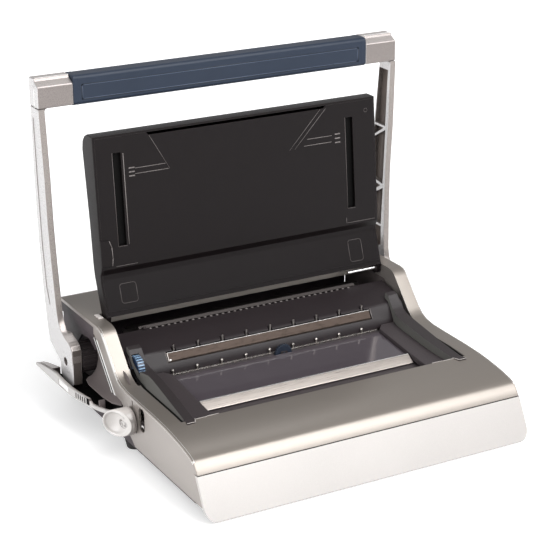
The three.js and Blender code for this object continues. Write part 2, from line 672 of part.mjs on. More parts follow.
function armOutline() {
  const shape = new THREE.Shape();
  shape.moveTo(ARM_TOP_REAR_Y - 4, GRIP_LOW_Z - 0.3);
  shape.lineTo(360.4, GRIP_LOW_Z - 0.3);
  for (const [y, z] of armFront) {
    shape.lineTo(y, z);
  }
  shape.lineTo(HEEL_Y - HEEL_RADIUS, HEEL_Z);
  shape.absarc(HEEL_Y, HEEL_Z, HEEL_RADIUS, Math.PI, 1.75 * Math.PI);
  shape.lineTo(388, 76);
  shape.lineTo(392, 96);
  shape.lineTo(396, 150);
  shape.lineTo(397.5, 200);
  shape.lineTo(ARM_TOP_REAR_Y + 4, 290);
  return shape;
}

const ARM_RIB_HEIGHTS = [288, 207, 152];

// The hollow of the channel, between one rib and the next
function channelPocket(topRear, topFront, lowRear, lowFront) {
  return outline([[392.6, topRear], [365.4, topFront], [366.4, lowFront], [393.4, lowRear]]);
}

// The arms lean in a little from the grip down to the shaft
function leaned(shape) {
  const slope = new THREE.Matrix4();
  slope.elements[8] = -ARM_LEAN;
  slope.elements[12] = ARM_LEAN * PIVOT_Z;
  return placed(shape, slope);
}

function makeArm() {
  const whole = alongX(armOutline(), -ARM_OUTER_X, -ARM_INNER_X, 1.2, 3);
  const foot = alongX(armOutline(), -ARM_OUTER_X, -FOOT_INNER_X, 1.2, 3)
    .intersect(alongX(outline([[300, 40], [420, 40], [420, 92], [360, 98], [300, 108]]), -260, -220));
  let arm = join(whole, foot);
  const pockets = [
    outline([[386.6, 373], [365.4, 373], [366.4, ARM_RIB_HEIGHTS[0] + 8], [391.6, ARM_RIB_HEIGHTS[0] + 8]]),
    outline([[392, ARM_RIB_HEIGHTS[0] + 5], [370, ARM_RIB_HEIGHTS[0] + 5], [392.4, ARM_RIB_HEIGHTS[0] - 9]]),
    channelPocket(ARM_RIB_HEIGHTS[0] - 12, ARM_RIB_HEIGHTS[0] + 3, ARM_RIB_HEIGHTS[1] + 12, ARM_RIB_HEIGHTS[1] + 8),
    outline([[393.4, ARM_RIB_HEIGHTS[1] + 8], [372, ARM_RIB_HEIGHTS[1] + 5], [393.6, ARM_RIB_HEIGHTS[1] - 9]]),
    channelPocket(ARM_RIB_HEIGHTS[1] - 12, ARM_RIB_HEIGHTS[1] + 3, ARM_RIB_HEIGHTS[2] + 6, ARM_RIB_HEIGHTS[2] + 6),
    outline([[392.4, ARM_RIB_HEIGHTS[2] + 3], [366, ARM_RIB_HEIGHTS[2] + 3], [364.6, 126], [388, 116]]),
  ];
  for (const pocket of pockets) {
    arm = arm.subtract(alongX(pocket, -ARM_OUTER_X + 2.4, -ARM_INNER_X + 5));
  }
  const shallow = alongX(outline([
    [370.4, 372], [371.6, 300], [372.6, 230], [371.6, 180], [369.6, 150], [377, 128], [384, 150], [386.6, 200],
    [384.6, 290], [381, 372],
  ]), -ARM_OUTER_X - 1, -ARM_OUTER_X + 0.7);
  const shaftBore = rodX(6.3 - ARM_OUTER_X, -220, PIVOT_Y, PIVOT_Z, SHAFT_RADIUS + 0.3);
  const screwRecess = rodX(-ARM_OUTER_X - 4, 10 - ARM_OUTER_X, SCREW_Y, SCREW_Z, 5.6, 20);
  return cut(leaned(arm.subtract(shallow)), shaftBore, screwRecess);
}

function makeCornerBlock() {
  const section = roundedRectangle(GRIP_FRONT_Y, GRIP_LOW_Z, GRIP_REAR_Y + 1, GRIP_TOP_Z, 5);
  const plan = roundedRectangle(-HANDLE_OUTER_X, 340, -GRIP_HALF_LENGTH - GAP, 400, 3.5);
  const corner = outline([
    [-HANDLE_OUTER_X, 360], [-200, 360], [-200, GRIP_TOP_Z], [-HANDLE_OUTER_X + 7, GRIP_TOP_Z],
    [-HANDLE_OUTER_X + 2, GRIP_TOP_Z - 2], [-HANDLE_OUTER_X, GRIP_TOP_Z - 7],
  ]);
  return alongX(section, -HANDLE_OUTER_X, -GRIP_HALF_LENGTH - GAP).intersect(alongZ(plan, 360, 440))
    .intersect(alongY(corner, 340, 400));
}

function makeGrip() {
  const section = roundedRectangle(GRIP_FRONT_Y + 0.4, GRIP_LOW_Z - 1.6, GRIP_REAR_Y + 0.6, GRIP_TOP_Z - 0.4, 5.5);
  return alongX(section, -GRIP_HALF_LENGTH, GRIP_HALF_LENGTH);
}

function makeShaft() {
  const half = ARM_OUTER_X - 6.7;
  const ends = rodX(-half - 4, 10 - half, SCREW_Y, SCREW_Z, 1.9, 12);
  return cut(rodX(-half, half, PIVOT_Y, PIVOT_Z, SHAFT_RADIUS), ends, mirrorX(ends));
}

function makePivotScrew() {
  const seat = 6.3 - ARM_OUTER_X;
  return join(rodX(seat - 3.2, seat - 0.4, SCREW_Y, SCREW_Z, 4.6, 16), rodX(seat - 1, seat + 9, SCREW_Y, SCREW_Z, 1.6, 12));
}

// Lid: an outer shell with side walls, and the inner panel that faces the work
const lidFront = [[304, 127.5], [318, 170], [318.6, 178], [314.2, 186], [328, 351.7]];
const lidBack = [
  [345, 351.7], [352.5, 348], [358, 341], [360, 330], [346.4, 240], [341, 188], [338, 172], [321, 127.5],
];

function makeLidShell() {
  const whole = alongX(outline([...lidFront, ...lidBack]), -LID_HALF_WIDTH, LID_HALF_WIDTH, 1);
  const hollow = outline([
    [290, 133], [316, 133], [319, 131], [336, 173.5], [338.4, 189], [343.7, 240], [357.2, 330], [355.5, 339.4],
    [351, 345.3], [344.3, 348.9], [310, 348.9], [300, 190],
  ]);
  const ear = join(
    alongX(outline([[304, 129], [306, 119], [318, 119], [321, 129]]), -LID_HALF_WIDTH, -LID_HALF_WIDTH + 6),
    rodX(-LID_HALF_WIDTH, -LID_HALF_WIDTH + 6, LID_HINGE_Y, LID_HINGE_Z, 6));
  const shell = join(whole, ear, mirrorX(ear));
  const inside = LID_HALF_WIDTH - LID_WALL;
  const pinHole = rodX(-210, 210, LID_HINGE_Y, LID_HINGE_Z, LID_PIN_RADIUS + GAP);
  return cut(shell, alongX(hollow, -inside, inside), pinHole);
}

function makeLidPanel() {
  const half = LID_HALF_WIDTH - LID_WALL - GAP;
  const front = [[304.9, 133.4], [318, 170], [318.6, 178], [314.2, 186], [327.7, 348.6]];
  const back = [[330.6, 348.6], [317, 187], [321.2, 179], [320.8, 170], [307.9, 133.4]];
  const leftSlot = block(-174, -163, 300, 350, 213, 329);
  const rightSlot = block(154, 165, 300, 350, 209, 329);
  const fingerRecess = alongY(outline([[-124, 345], [122, 345], [129, 352], [-131, 352]]), 300, 350);
  return cut(alongX(outline([...front, ...back]), -half, half), leftSlot, rightSlot, fingerRecess);
}

function makeLidPin() {
  return rodX(-203, -LID_HALF_WIDTH + 6, LID_HINGE_Y, LID_HINGE_Z, LID_PIN_RADIUS, 16);
}

addPart('upper_housing', makeHousing(), SILVER);
addPart('base_pan', makeBasePan(), SIDE_GREY);
for (const [place, [x, y]] of Object.entries(FOOT_PLACES)) {
  const makeFoot = () => rodZ(-x, y, -FOOT_DEPTH, BASE_Z, FOOT_RADIUS, 24, FOOT_TOP_RADIUS);
  addOnBothSides(`foot_${place}`, makeFoot, RUBBER);
}
addOnBothSides('side_plate', makeSidePlate, SIDE_GREY);
addPart('back_cover', makeBackCover(), SIDE_GREY);
addOnBothSides('shaft_bush', makeBush, TOOL_STEEL);
addOnBothSides('shaft_boss', makeBoss, DARK_SHELL);
addPart('work_tray', makeTray(), DARK_SHELL);
addPart('punch_cover', makePunchCover(), DARK_SHELL);
addPart('cheek_left', makeDialCheek(), DARK_SHELL);
addPart('cheek_right', mirrorX(makeCheek()), DARK_SHELL);
addPart('document_plate', makePlate(), GLOSS_GREY);
addPart('support_bar', makeSupportBar(), STEEL);
addPart('hook_rail', makeHookRail(), STEEL);
addPart('punch_bed', makePunchBed(), TOOL_STEEL);
addPart('die_plate', makeDiePlate(), TOOL_STEEL);
addPart('guide_plate', makeGuidePlate(), TOOL_STEEL);
addPart('wheel_bracket', makeWheelBracket(), DARK_SHELL);
addPart('side_guard', makeSideGuard(), SILVER);
addPart('guard_window', makeGuardWindow(), KNOB_WHITE);

addPart('punch_comb', makePunchComb(), STEEL);
addPart('closer_jaw', makeCloserJaw(), STEEL);
addPart('stop_finger', makeStopFinger(), STEEL);
addPart('thumbwheel', makeThumbwheel(), DIAL_BLUE);
addPart('edge_dial', makeEdgeDial(), DIAL_BLUE);
addPart('edge_guide', makeEdgeGuide(), DARK_SHELL);
addPart('drawer_front', makeDrawerFront(), SILVER);
addPart('drawer_bin', makeDrawerBin(), DARK_SHELL);
addPart('size_knob', makeKnob(), KNOB_WHITE);
addPart('knob_shaft', makeKnobShaft(), TOOL_STEEL);
addPart('stop_cam', makeStopCam(), TOOL_STEEL);
addPart('closer_stop', makeCloserStop(), TOOL_STEEL);
addPart('size_indicator', makeIndicator(), RUBBER);

addOnBothSides('handle_arm', makeArm, SILVER);
addOnBothSides('corner_block', makeCornerBlock, SILVER);
addPart('grip', makeGrip(), GRIP_BLUE);
addPart('cross_shaft', makeShaft(), TOOL_STEEL);
addOnBothSides('shaft_cam', makeShaftCam, TOOL_STEEL);
addOnBothSides('pivot_screw', makePivotScrew, TOOL_STEEL);

addPart('lid_shell', makeLidShell(), LID_BLACK);
addPart('lid_panel', makeLidPanel(), LID_BLACK);
addOnBothSides('lid_pin', makeLidPin, STEEL);

export default machine;
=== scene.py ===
"""Looks of the desk wire binding machine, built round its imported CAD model.

Shapes are written in the millimetres of the part's own drawing: x to the right, y to the back from the
front corners of the side panels, z up. at() turns such a point into a point of the scene, in metres.
"""
import math

import bmesh
import bpy
from mathutils import Matrix, Vector


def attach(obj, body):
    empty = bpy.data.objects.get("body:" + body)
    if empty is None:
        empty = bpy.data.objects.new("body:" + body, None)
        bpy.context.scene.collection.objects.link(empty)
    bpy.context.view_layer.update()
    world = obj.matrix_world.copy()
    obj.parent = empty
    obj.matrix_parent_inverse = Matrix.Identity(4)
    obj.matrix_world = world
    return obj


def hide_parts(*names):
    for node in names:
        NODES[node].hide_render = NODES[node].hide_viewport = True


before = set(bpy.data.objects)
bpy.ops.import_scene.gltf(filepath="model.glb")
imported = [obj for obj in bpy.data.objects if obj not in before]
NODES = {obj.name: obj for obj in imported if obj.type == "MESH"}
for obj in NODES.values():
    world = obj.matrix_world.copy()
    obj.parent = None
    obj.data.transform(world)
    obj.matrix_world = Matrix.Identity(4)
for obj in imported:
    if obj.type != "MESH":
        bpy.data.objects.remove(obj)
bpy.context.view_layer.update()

ORIGIN_Y = 206.7
TABLE_Z = -9.0
BODY_HALF_WIDTH = 220
SEAM_Y, SEAM_Z = 19.0, 42.0
PIVOT_Y, PIVOT_Z = 335.0, 70.0
ARM_LEAN = 0.031
HOLE_PITCH = 25.4 / 3
PIN_PITCH = 4 * HOLE_PITCH
SIDES = (("left", -1), ("right", 1))

# The housing's top in side view, (y, z), from its front edge up to the tower tops
DECK_PROFILE = [
    (28, 54.6), (31, 56.4), (38, 58.9), (50, 61.6), (63, 63.8), (82, 66.3), (103, 68.3), (135, 69.6),
    (175, 70), (206, 70.6), (222, 73), (232, 77.2), (240, 84), (271, 118), (275.5, 122.3), (281, 125),
    (288, 126),
]


def at(x, y, z):
    return Vector((x, y - ORIGIN_Y, z - TABLE_Z)) / 1000


def mm(value):
    return value / 1000


# Materials


def srgb(r, g, b):
    """An 8-bit display colour as the linear colour that a shader takes."""
    def linear(value):
        value /= 255
        return value / 12.92 if value <= 0.04045 else ((value + 0.055) / 1.055) ** 2.4

    return linear(r), linear(g), linear(b), 1.0


def shade(colour, factor):
    return tuple(min(1.0, part * factor) for part in colour[:3]) + (1.0,)


class Finish:
    """A node material that is built step by step round one Principled shader."""

    def __init__(self, name):
        self.material = bpy.data.materials.new(name)
        self.material.use_nodes = True
        self.nodes = self.material.node_tree.nodes
        self.links = self.material.node_tree.links
        self.shader = self.nodes["Principled BSDF"]
        self.height = None
        self.place = self.nodes.new("ShaderNodeTexCoord").outputs["Object"]

    def feed(self, socket, value):
        """Links the socket to a node's output, or gives it a plain value."""
        if isinstance(value, bpy.types.NodeSocket):
            self.links.new(value, socket)
        else:
            socket.default_value = value

    def add(self, kind, **inputs):
        node = self.nodes.new(kind)
        for name, value in inputs.items():
            self.feed(node.inputs[name], value)
        return node

    def noise(self, scale, detail=3.0, roughness=0.5, stretch=None):
        source = self.place
        if stretch is not None:
            source = self.add("ShaderNodeMapping", Vector=source, Scale=stretch).outputs["Vector"]
        made = self.add("ShaderNodeTexNoise", Vector=source, Scale=scale, Detail=detail, Roughness=roughness)
        return made.outputs["Fac"]

    def spread(self, value, low, high, from_low=0.3, from_high=0.7):
        node = self.nodes.new("ShaderNodeMapRange")
        self.links.new(value, node.inputs["Value"])
        node.inputs["From Min"].default_value = from_low
        node.inputs["From Max"].default_value = from_high
        node.inputs["To Min"].default_value = low
        node.inputs["To Max"].default_value = high
        return node.outputs["Result"]

    def mix(self, factor, first, second):
        node = self.nodes.new("ShaderNodeMix")
        node.data_type = "RGBA"
        for index, value in ((0, factor), (6, first), (7, second)):
            self.feed(node.inputs[index], value)
        return node.outputs[2]

    def bump(self, value, distance, strength=1.0):
        node = self.add("ShaderNodeBump", Height=value, Distance=distance, Strength=strength)
        if self.height is not None:
            self.links.new(self.height, node.inputs["Normal"])
        self.height = node.outputs["Normal"]
        self.links.new(self.height, self.shader.inputs["Normal"])

    def set(self, **values):
        for name, value in values.items():
            self.feed(self.shader.inputs[name.replace("_", " ")], value)

    def painted_facing_light(self, base, top=None, side=None):
        """Painted light: another tone where the surface faces up, and where it faces sideways along x, for
        how light falls there.
        """
        direction = self.nodes.new("ShaderNodeSeparateXYZ")
        self.links.new(self.nodes.new("ShaderNodeTexCoord").outputs["Normal"], direction.inputs[0])
        if top is not None:
            base = self.mix(self.spread(direction.outputs["Z"], 0.0, 1.0, 0.3, 0.9), base, top)
        if side is not None:
            sideways = self.nodes.new("ShaderNodeMath")
            sideways.operation = "ABSOLUTE"
            self.links.new(direction.outputs["X"], sideways.inputs[0])
            base = self.mix(self.spread(sideways.outputs[0], 0.0, 1.0, 0.25, 0.85), base, side)
        return base

    def painted_edge_highlight(self, base, light, width=0.0008, amount=0.5):
        """Painted highlight: a lighter colour on convex edges, where they catch the light."""
        bevel = self.nodes.new("ShaderNodeBevel")
        bevel.samples = 4
        bevel.inputs["Radius"].default_value = width
        plain = self.nodes.new("ShaderNodeNewGeometry")
        dot = self.nodes.new("ShaderNodeVectorMath")
        dot.operation = "DOT_PRODUCT"
        self.links.new(bevel.outputs["Normal"], dot.inputs[0])
        self.links.new(plain.outputs["Normal"], dot.inputs[1])
        edge = self.spread(dot.outputs["Value"], amount, 0.0, 0.72, 0.97)
        return self.mix(edge, base, light)


def painted_metal(name, colour, roughness, metallic, coat, top=None, side=None):
    """Satin metallic paint: fine flakes under a thin clear coat, with slight clouding.

    Top and side are tones of painted light and shade on faces that point up and sideways along x.
    """
    made = Finish(name)
    cloud = made.spread(made.noise(9, 3), 0.0, 1.0)
    flakes = made.spread(made.noise(2600, 1), 0.0, 1.0, 0.4, 0.7)
    tone = made.mix(cloud, shade(colour, 0.965), shade(colour, 1.03))
    tone = made.mix(flakes, tone, shade(colour, 1.1))
    tone = made.painted_facing_light(tone, top, side)
    made.set(
        Base_Color=tone,
        Metallic=metallic,
        Roughness=made.spread(made.noise(1400, 2), roughness - 0.05, roughness + 0.05),
        Coat_Weight=coat,
        Coat_Roughness=0.22,
    )
    made.bump(made.noise(2200, 2), 0.00002, 0.35)
    made.bump(made.noise(140, 2), 0.00006, 0.25)
    return made.material


def grained_plastic(name, colour, roughness, grain=1500, depth=0.00006, edge_highlight_colour=None, coat=0.0,
                    gloss=0.5, side=None):
    """Moulded plastic with a spark-eroded grain, and a painted highlight, a little paler, on its convex
    edges.
    """
    made = Finish(name)
    mottle = made.spread(made.noise(26, 4), 0.0, 1.0)
    fine = made.spread(made.noise(grain, 3, 0.6), 0.0, 1.0)
    tone = made.mix(mottle, shade(colour, 0.9), shade(colour, 1.08))
    tone = made.mix(fine, shade(colour, 0.86), tone)
    # side is a tone of painted light on faces that point sideways
    tone = made.painted_facing_light(tone, side=side)
    tone = made.painted_edge_highlight(tone, edge_highlight_colour or shade(colour, 1.7), 0.0007, 0.4)
    made.set(
        Base_Color=tone,
        Roughness=made.spread(made.noise(grain * 0.7, 2), roughness - 0.07, roughness + 0.07),
        Specular_IOR_Level=gloss,
        Coat_Weight=coat,
        Coat_Roughness=0.3,
    )
    made.bump(made.noise(grain, 3, 0.6), depth, 0.6)
    return made.material


def smooth_plastic(name, colour, roughness, coat=0.3, top=None, side=None):
    """Polished plastic with faint flow clouds and small scuffs."""
    made = Finish(name)
    flow = made.spread(made.noise(35, 3), 0.0, 1.0)
    scuff = made.spread(made.noise(240, 5, 0.7, (1.0, 6.0, 1.0)), 0.0, 1.0, 0.55, 0.75)
    # top and side are tones of painted light and shade on faces that point up and sideways
    tone = made.painted_facing_light(made.mix(flow, shade(colour, 0.96), shade(colour, 1.03)), top, side)
    made.set(
        Base_Color=tone,
        Roughness=made.spread(scuff, roughness, roughness + 0.13, 0.0, 1.0),
        Coat_Weight=coat,
        Coat_Roughness=0.08,
    )
    made.bump(made.noise(60, 2), 0.00003, 0.3)
    return made.material


def brushed_steel(name, colour, roughness, along, spots=0.0):
    """Steel brushed along one axis; along is 0 for X, 1 for Y, 2 for Z."""
    made = Finish(name)
    stretch = [1.0, 1.0, 1.0]
    stretch[along] = 0.02
    lines = made.noise(1700, 4, 0.6, tuple(stretch))
    tone = made.mix(made.spread(lines, 0.0, 1.0), shade(colour, 0.82), shade(colour, 1.12))
    if spots > 0:
        blot = made.spread(made.noise(230, 4, 0.65, (0.35, 1.0, 1.0)), 0.0, spots, 0.5, 0.75)
        tone = made.mix(blot, tone, shade(colour, 0.4))
    made.set(
        Base_Color=tone,
        Metallic=1.0,
        Roughness=made.spread(lines, roughness - 0.08, roughness + 0.1),
    )
    made.bump(lines, 0.00002, 0.4)
    return made.material


def rubber(name, colour):
    made = Finish(name)
    dust = made.spread(made.noise(60, 4), 0.0, 1.0, 0.45, 0.8)
    made.set(
        Base_Color=made.mix(dust, colour, shade(colour, 2.2)),
        Roughness=made.spread(made.noise(500, 3), 0.72, 0.9),
    )
    made.bump(made.noise(900, 3), 0.00008, 0.6)
    return made.material


# Silver paint; its top tone is painted shade on faces that point up, its side tone painted light on sideways
# faces
SILVER = painted_metal(
    "silver_paint", srgb(158, 151, 144), 0.36, 0.62, 0.25, srgb(140, 133, 126), srgb(160, 153, 148))
# A lighter copy of the silver paint for the drawer front: painted light
LIT_SILVER_FRONT = painted_metal("silver_front_lit_paint", srgb(193, 189, 186), 0.36, 0.4, 0.25)
# Darker copies of the silver paint for the handle: painted shade on front faces, painted light on tops and
# sides
SHADED_SILVER_ARM = painted_metal(
    "silver_arm_shaded_paint", srgb(136, 129, 125), 0.3, 0.5, 0.3, srgb(180, 173, 170), srgb(202, 200, 200))
SHADED_SILVER_BLOCK = painted_metal(
    "silver_block_shaded_paint", srgb(122, 115, 112), 0.3, 0.5, 0.3, srgb(186, 179, 176), srgb(202, 200, 200))
# A lighter copy of the silver paint for the side guard: painted light, more so on tops and sides
LIT_SILVER_GUARD = painted_metal(
    "silver_guard_lit_paint", srgb(166, 158, 153), 0.4, 0.3, 0.2, srgb(178, 172, 168), srgb(190, 187, 185))
# A darker copy of the silver paint for the handle's feet: painted shade, with painted light on tops and sides
SHADED_SILVER_FOOT = painted_metal(
    "silver_foot_shaded_paint", srgb(98, 91, 87), 0.32, 0.4, 0.3, srgb(150, 143, 139), srgb(202, 200, 200))
# Painted shade for the floors of the handle's channels
ARM_HOLLOW_SHADE = grained_plastic("arm_hollow_shade_plastic", srgb(126, 115, 109), 0.5, gloss=0.3)
# Painted highlight inside the grip's groove
GRIP_GROOVE_HIGHLIGHT = smooth_plastic("grip_groove_highlight", srgb(84, 96, 118), 0.5, 0.0)
# Near-white paint for painted highlights on edges, rims and ridges
SILVER_HIGHLIGHT = painted_metal("silver_highlight_paint", srgb(240, 239, 237), 0.3, 0.1, 0.4)
SIDE_GREY = grained_plastic("side_grey_plastic", srgb(70, 62, 66), 0.5, gloss=0.3)
SIDE_PLATE = grained_plastic("side_plate_plastic", srgb(104, 96, 95), 0.5, gloss=0.3)
DARK_SHELL = grained_plastic("dark_shell_plastic", srgb(52, 46, 47), 0.46, gloss=0.3)
# Cheek plastic; its side tone is painted light on faces that point sideways
CHEEK_DARK = grained_plastic("cheek_plastic", srgb(48, 43, 44), 0.46, gloss=0.35, side=srgb(92, 91, 88))
DIAL_RIB_HIGHLIGHT = smooth_plastic("dial_rib_tip_highlights", srgb(150, 184, 214), 0.3, 0.3)
# Near-black for painted shade: sheets in slots, wells, gaps and seams where shade falls
SHADE_BLACK = grained_plastic("gap_shadow", srgb(12, 11, 11), 0.7, gloss=0.1)
LID_BLACK = grained_plastic(
    "lid_plastic", srgb(20, 15, 16), 0.4, 1900, 0.00004, srgb(104, 98, 98), gloss=0.16)
LID_LINE = smooth_plastic("lid_line", srgb(84, 78, 77), 0.5, 0.0)
GLOSS_GREY = smooth_plastic("gloss_plate", srgb(74, 68, 73), 0.07, 0.6)
GRIP_BLUE = grained_plastic(
    "grip_plastic", srgb(38, 48, 64), 0.4, 1700, 0.00003, srgb(100, 114, 134), gloss=0.25)
# Painted shade in the grip's groove
GRIP_GROOVE_SHADE = smooth_plastic("grip_groove_shade", srgb(24, 32, 44), 0.5, 0.0)
DIAL_BLUE = grained_plastic("dial_plastic", srgb(30, 50, 78), 0.34, 1500, 0.00002, srgb(160, 196, 226), 0.3)
WHEEL_BLUE = grained_plastic(
    "wheel_plastic", srgb(26, 36, 52), 0.34, 1500, 0.00002, srgb(110, 130, 150), 0.3)
# The knob's white plastic darkened by painted shade, with painted light on faces that point up and on its end
KNOB_WHITE = smooth_plastic(
    "knob_plastic", srgb(138, 132, 128), 0.24, 0.4, srgb(190, 184, 180), srgb(212, 208, 205))
BAR_STEEL = brushed_steel("bar_steel", srgb(176, 168, 162), 0.34, 0)
# Near-white steel for painted highlights along bright edges, and for the lid's hinge rod
BAR_HIGHLIGHT = brushed_steel("bar_edge_highlight_steel", srgb(252, 250, 248), 0.3, 0)
HOOK_STEEL = brushed_steel("hook_steel", srgb(214, 208, 202), 0.25, 2)
JAW_STEEL = brushed_steel("jaw_steel", srgb(72, 63, 58), 0.5, 0, 0.9)
PIN_STEEL = brushed_steel("pin_steel", srgb(176, 170, 166), 0.35, 2)
TRAY_DARK = grained_plastic("tray_plastic", srgb(64, 58, 60), 0.4, gloss=0.35)
COVER_DARK = grained_plastic("cover_plastic", srgb(40, 34, 36), 0.42, gloss=0.28)
TOOL_STEEL = brushed_steel("tool_steel", srgb(142, 139, 136), 0.33, 1)
DARK_STEEL = brushed_steel("dark_tool_steel", srgb(66, 62, 61), 0.5, 0)
BOLT_STEEL = brushed_steel("bolt_steel", srgb(74, 70, 70), 0.4, 0)
RUBBER = rubber("foot_rubber", srgb(38, 36, 36))
# Pale plastic for the small catch on the left tower, and for painted highlights on the cheeks' front edges
PALE_PART_AND_HIGHLIGHT = smooth_plastic("pale_part_and_highlight", srgb(196, 190, 186), 0.5, 0.0)
MARK_GREY = smooth_plastic("grey_print", srgb(118, 112, 110), 0.5, 0.0)
WINDOW_WHITE = smooth_plastic("window_insert", srgb(240, 238, 236), 0.25, 0.3)

NODE_LOOKS = {
    "upper_housing": (SILVER, 0.9),
    "drawer_front": (LIT_SILVER_FRONT, 0.7),
    "handle_arm_left": (SHADED_SILVER_ARM, 0.5),
    "handle_arm_right": (SHADED_SILVER_ARM, 0.5),
    "corner_block_left": (SHADED_SILVER_BLOCK, 0.4),
    "corner_block_right": (SHADED_SILVER_BLOCK, 0.4),
    "side_guard": (LIT_SILVER_GUARD, 0.4),
    "guard_window": (WINDOW_WHITE, 0.2),
    "base_pan": (SIDE_GREY, 0.4),
    "side_plate_left": (SIDE_PLATE, 0.4),
    "side_plate_right": (SIDE_PLATE, 0.4),
    "back_cover": (SIDE_GREY, 0.4),
    "shaft_boss_left": (DARK_SHELL, 0.3),
    "shaft_boss_right": (DARK_SHELL, 0.3),
    "work_tray": (TRAY_DARK, 0.4),
    "punch_cover": (COVER_DARK, 0.4),
    "cheek_left": (DARK_SHELL, 0.6),
    "cheek_right": (DARK_SHELL, 0.6),
    "wheel_bracket": (DARK_SHELL, 0.2),
    "edge_guide": (DARK_SHELL, 0.2),
    "drawer_bin": (DARK_SHELL, 0.4),
    "document_plate": (GLOSS_GREY, 0.2),
    "support_bar": (BAR_STEEL, 0.3),
    "hook_rail": (HOOK_STEEL, 0.1),
    "closer_jaw": (JAW_STEEL, 0.1),
    "stop_finger": (TOOL_STEEL, 0.1),
    "punch_comb": (DARK_STEEL, 0),
    "punch_bed": (DARK_STEEL, 0.2),
    "die_plate": (DARK_STEEL, 0),
    "guide_plate": (DARK_STEEL, 0),
    "shaft_bush_left": (TOOL_STEEL, 0.2),
    "shaft_bush_right": (TOOL_STEEL, 0.2),
    "cross_shaft": (TOOL_STEEL, 0.2),
    "shaft_cam_left": (TOOL_STEEL, 0.2),
    "shaft_cam_right": (TOOL_STEEL, 0.2),
    "pivot_screw_left": (BOLT_STEEL, 0.2),
    "pivot_screw_right": (BOLT_STEEL, 0.2),
    "knob_shaft": (TOOL_STEEL, 0.2),
    "stop_cam": (TOOL_STEEL, 0.2),
    "closer_stop": (TOOL_STEEL, 0.2),
    "size_indicator": (DARK_SHELL, 0.2),
    "size_knob": (KNOB_WHITE, 0.8),
    "grip": (GRIP_BLUE, 0.8),
    "lid_shell": (LID_BLACK, 0.6),
    "lid_panel": (LID_BLACK, 0.3),
    "lid_pin_left": (TOOL_STEEL, 0.2),
    "lid_pin_right": (TOOL_STEEL, 0.2),
    "thumbwheel": (WHEEL_BLUE, 0.15),
    "edge_dial": (DIAL_BLUE, 0.2),
    "foot_front_left": (RUBBER, 0.6),
    "foot_front_right": (RUBBER, 0.6),
    "foot_middle_left": (RUBBER, 0.6),
    "foot_middle_right": (RUBBER, 0.6),
    "foot_rear_left": (RUBBER, 0.6),
    "foot_rear_right": (RUBBER, 0.6),
}


def soften(thing, width, segments=2, merge_flat=True):
    """Rounds the edges of a mesh and shades it smoothly, by modifiers.

    Coplanar faces are merged first unless merge_flat is off. Rounding the edges of a merged face that has
    pockets in it can lay stray faces over the pockets.
    """
    thing.data.polygons.foreach_set("use_smooth", [True] * len(thing.data.polygons))
    weld = thing.modifiers.new("weld", "WELD")
    weld.merge_threshold = 0.000005
    if merge_flat:
        flat = thing.modifiers.new("flat", "DECIMATE")
        flat.decimate_type = "DISSOLVE"
        flat.angle_limit = math.radians(0.4)
    bevel = thing.modifiers.new("bevel", "BEVEL")
    bevel.width = mm(width)
    bevel.segments = segments
    bevel.limit_method = "ANGLE"
    bevel.angle_limit = math.radians(31)
    bevel.use_clamp_overlap = True
    bevel.miter_outer = "MITER_ARC"
    even = thing.modifiers.new("even", "WEIGHTED_NORMAL")
    even.weight = 80
    even.keep_sharp = False


POCKETED_NODES = ("handle_arm_left", "handle_arm_right")
for node_name, (look, edge) in NODE_LOOKS.items():
    node = NODES[node_name]
    node.data.materials.clear()
    node.data.materials.append(look)
    if edge > 0:
        soften(node, edge, merge_flat=node_name not in POCKETED_NODES)


# Making new pieces


def closed_mesh(name, points, faces):
    """The mesh of a closed shape, its faces turned outwards."""
    mesh = bpy.data.meshes.new(name)
    mesh.from_pydata([tuple(p) for p in points], [], faces)
    made = bmesh.new()
    made.from_mesh(mesh)
    bmesh.ops.recalc_face_normals(made, faces=made.faces)
    made.to_mesh(mesh)
    made.free()
    return mesh


def new_piece(name, points, faces, look, body, slot, edge=0.0, segments=2):
    mesh = closed_mesh(name, points, faces)
    mesh.materials.append(look)
    thing = bpy.data.objects.new(name, mesh)
    bpy.context.scene.collection.objects.link(thing)
    if edge > 0:
        soften(thing, edge, segments)
    else:
        mesh.polygons.foreach_set("use_smooth", [True] * len(mesh.polygons))
    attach(thing, body)
    return thing


def swept(outline, low, high, place):
    """The points and faces of an outline swept from low to high; place(a, b, t) gives each point."""
    points = [place(a, b, low) for a, b in outline] + [place(a, b, high) for a, b in outline]
    count = len(outline)
    faces = [list(range(count)), list(range(2 * count - 1, count - 1, -1))]
    for i in range(count):
        j = (i + 1) % count
        faces.append([i, count + i, count + j, j])
    return points, faces


def along_x(name, outline, x0, x1, look, body, slot, edge=0.3, segments=2):
    shape = swept(outline, x0, x1, lambda y, z, x: at(x, y, z))
    return new_piece(name, *shape, look, body, slot, edge, segments)


def join_shapes(shapes):
    """Several (points, faces) pairs as one."""
    points, faces = [], []
    for more_points, more_faces in shapes:
        shift = len(points)
        points += more_points
        faces += [[i + shift for i in face] for face in more_faces]
    return points, faces


def side_sheet(sign, outline, low, high):
    """An outline in side view (y, z), from low to high millimetres out from the middle."""
    return swept(outline, low, high, lambda y, z, x: at(sign * x, y, z))


def circle(a, b, radius, count):
    """The corners of an even outline round (a, b)."""
    turns = [2 * math.pi * i / count for i in range(count)]
    return [(a + radius * math.cos(turn), b + radius * math.sin(turn)) for turn in turns]


def slab(x0, x1, y0, y1, z0, z1, place=at):
    """A box, or a sheared box where place bends it."""
    return swept([(x0, z0), (x1, z0), (x1, z1), (x0, z1)], y0, y1, lambda x, z, y: place(x, y, z))


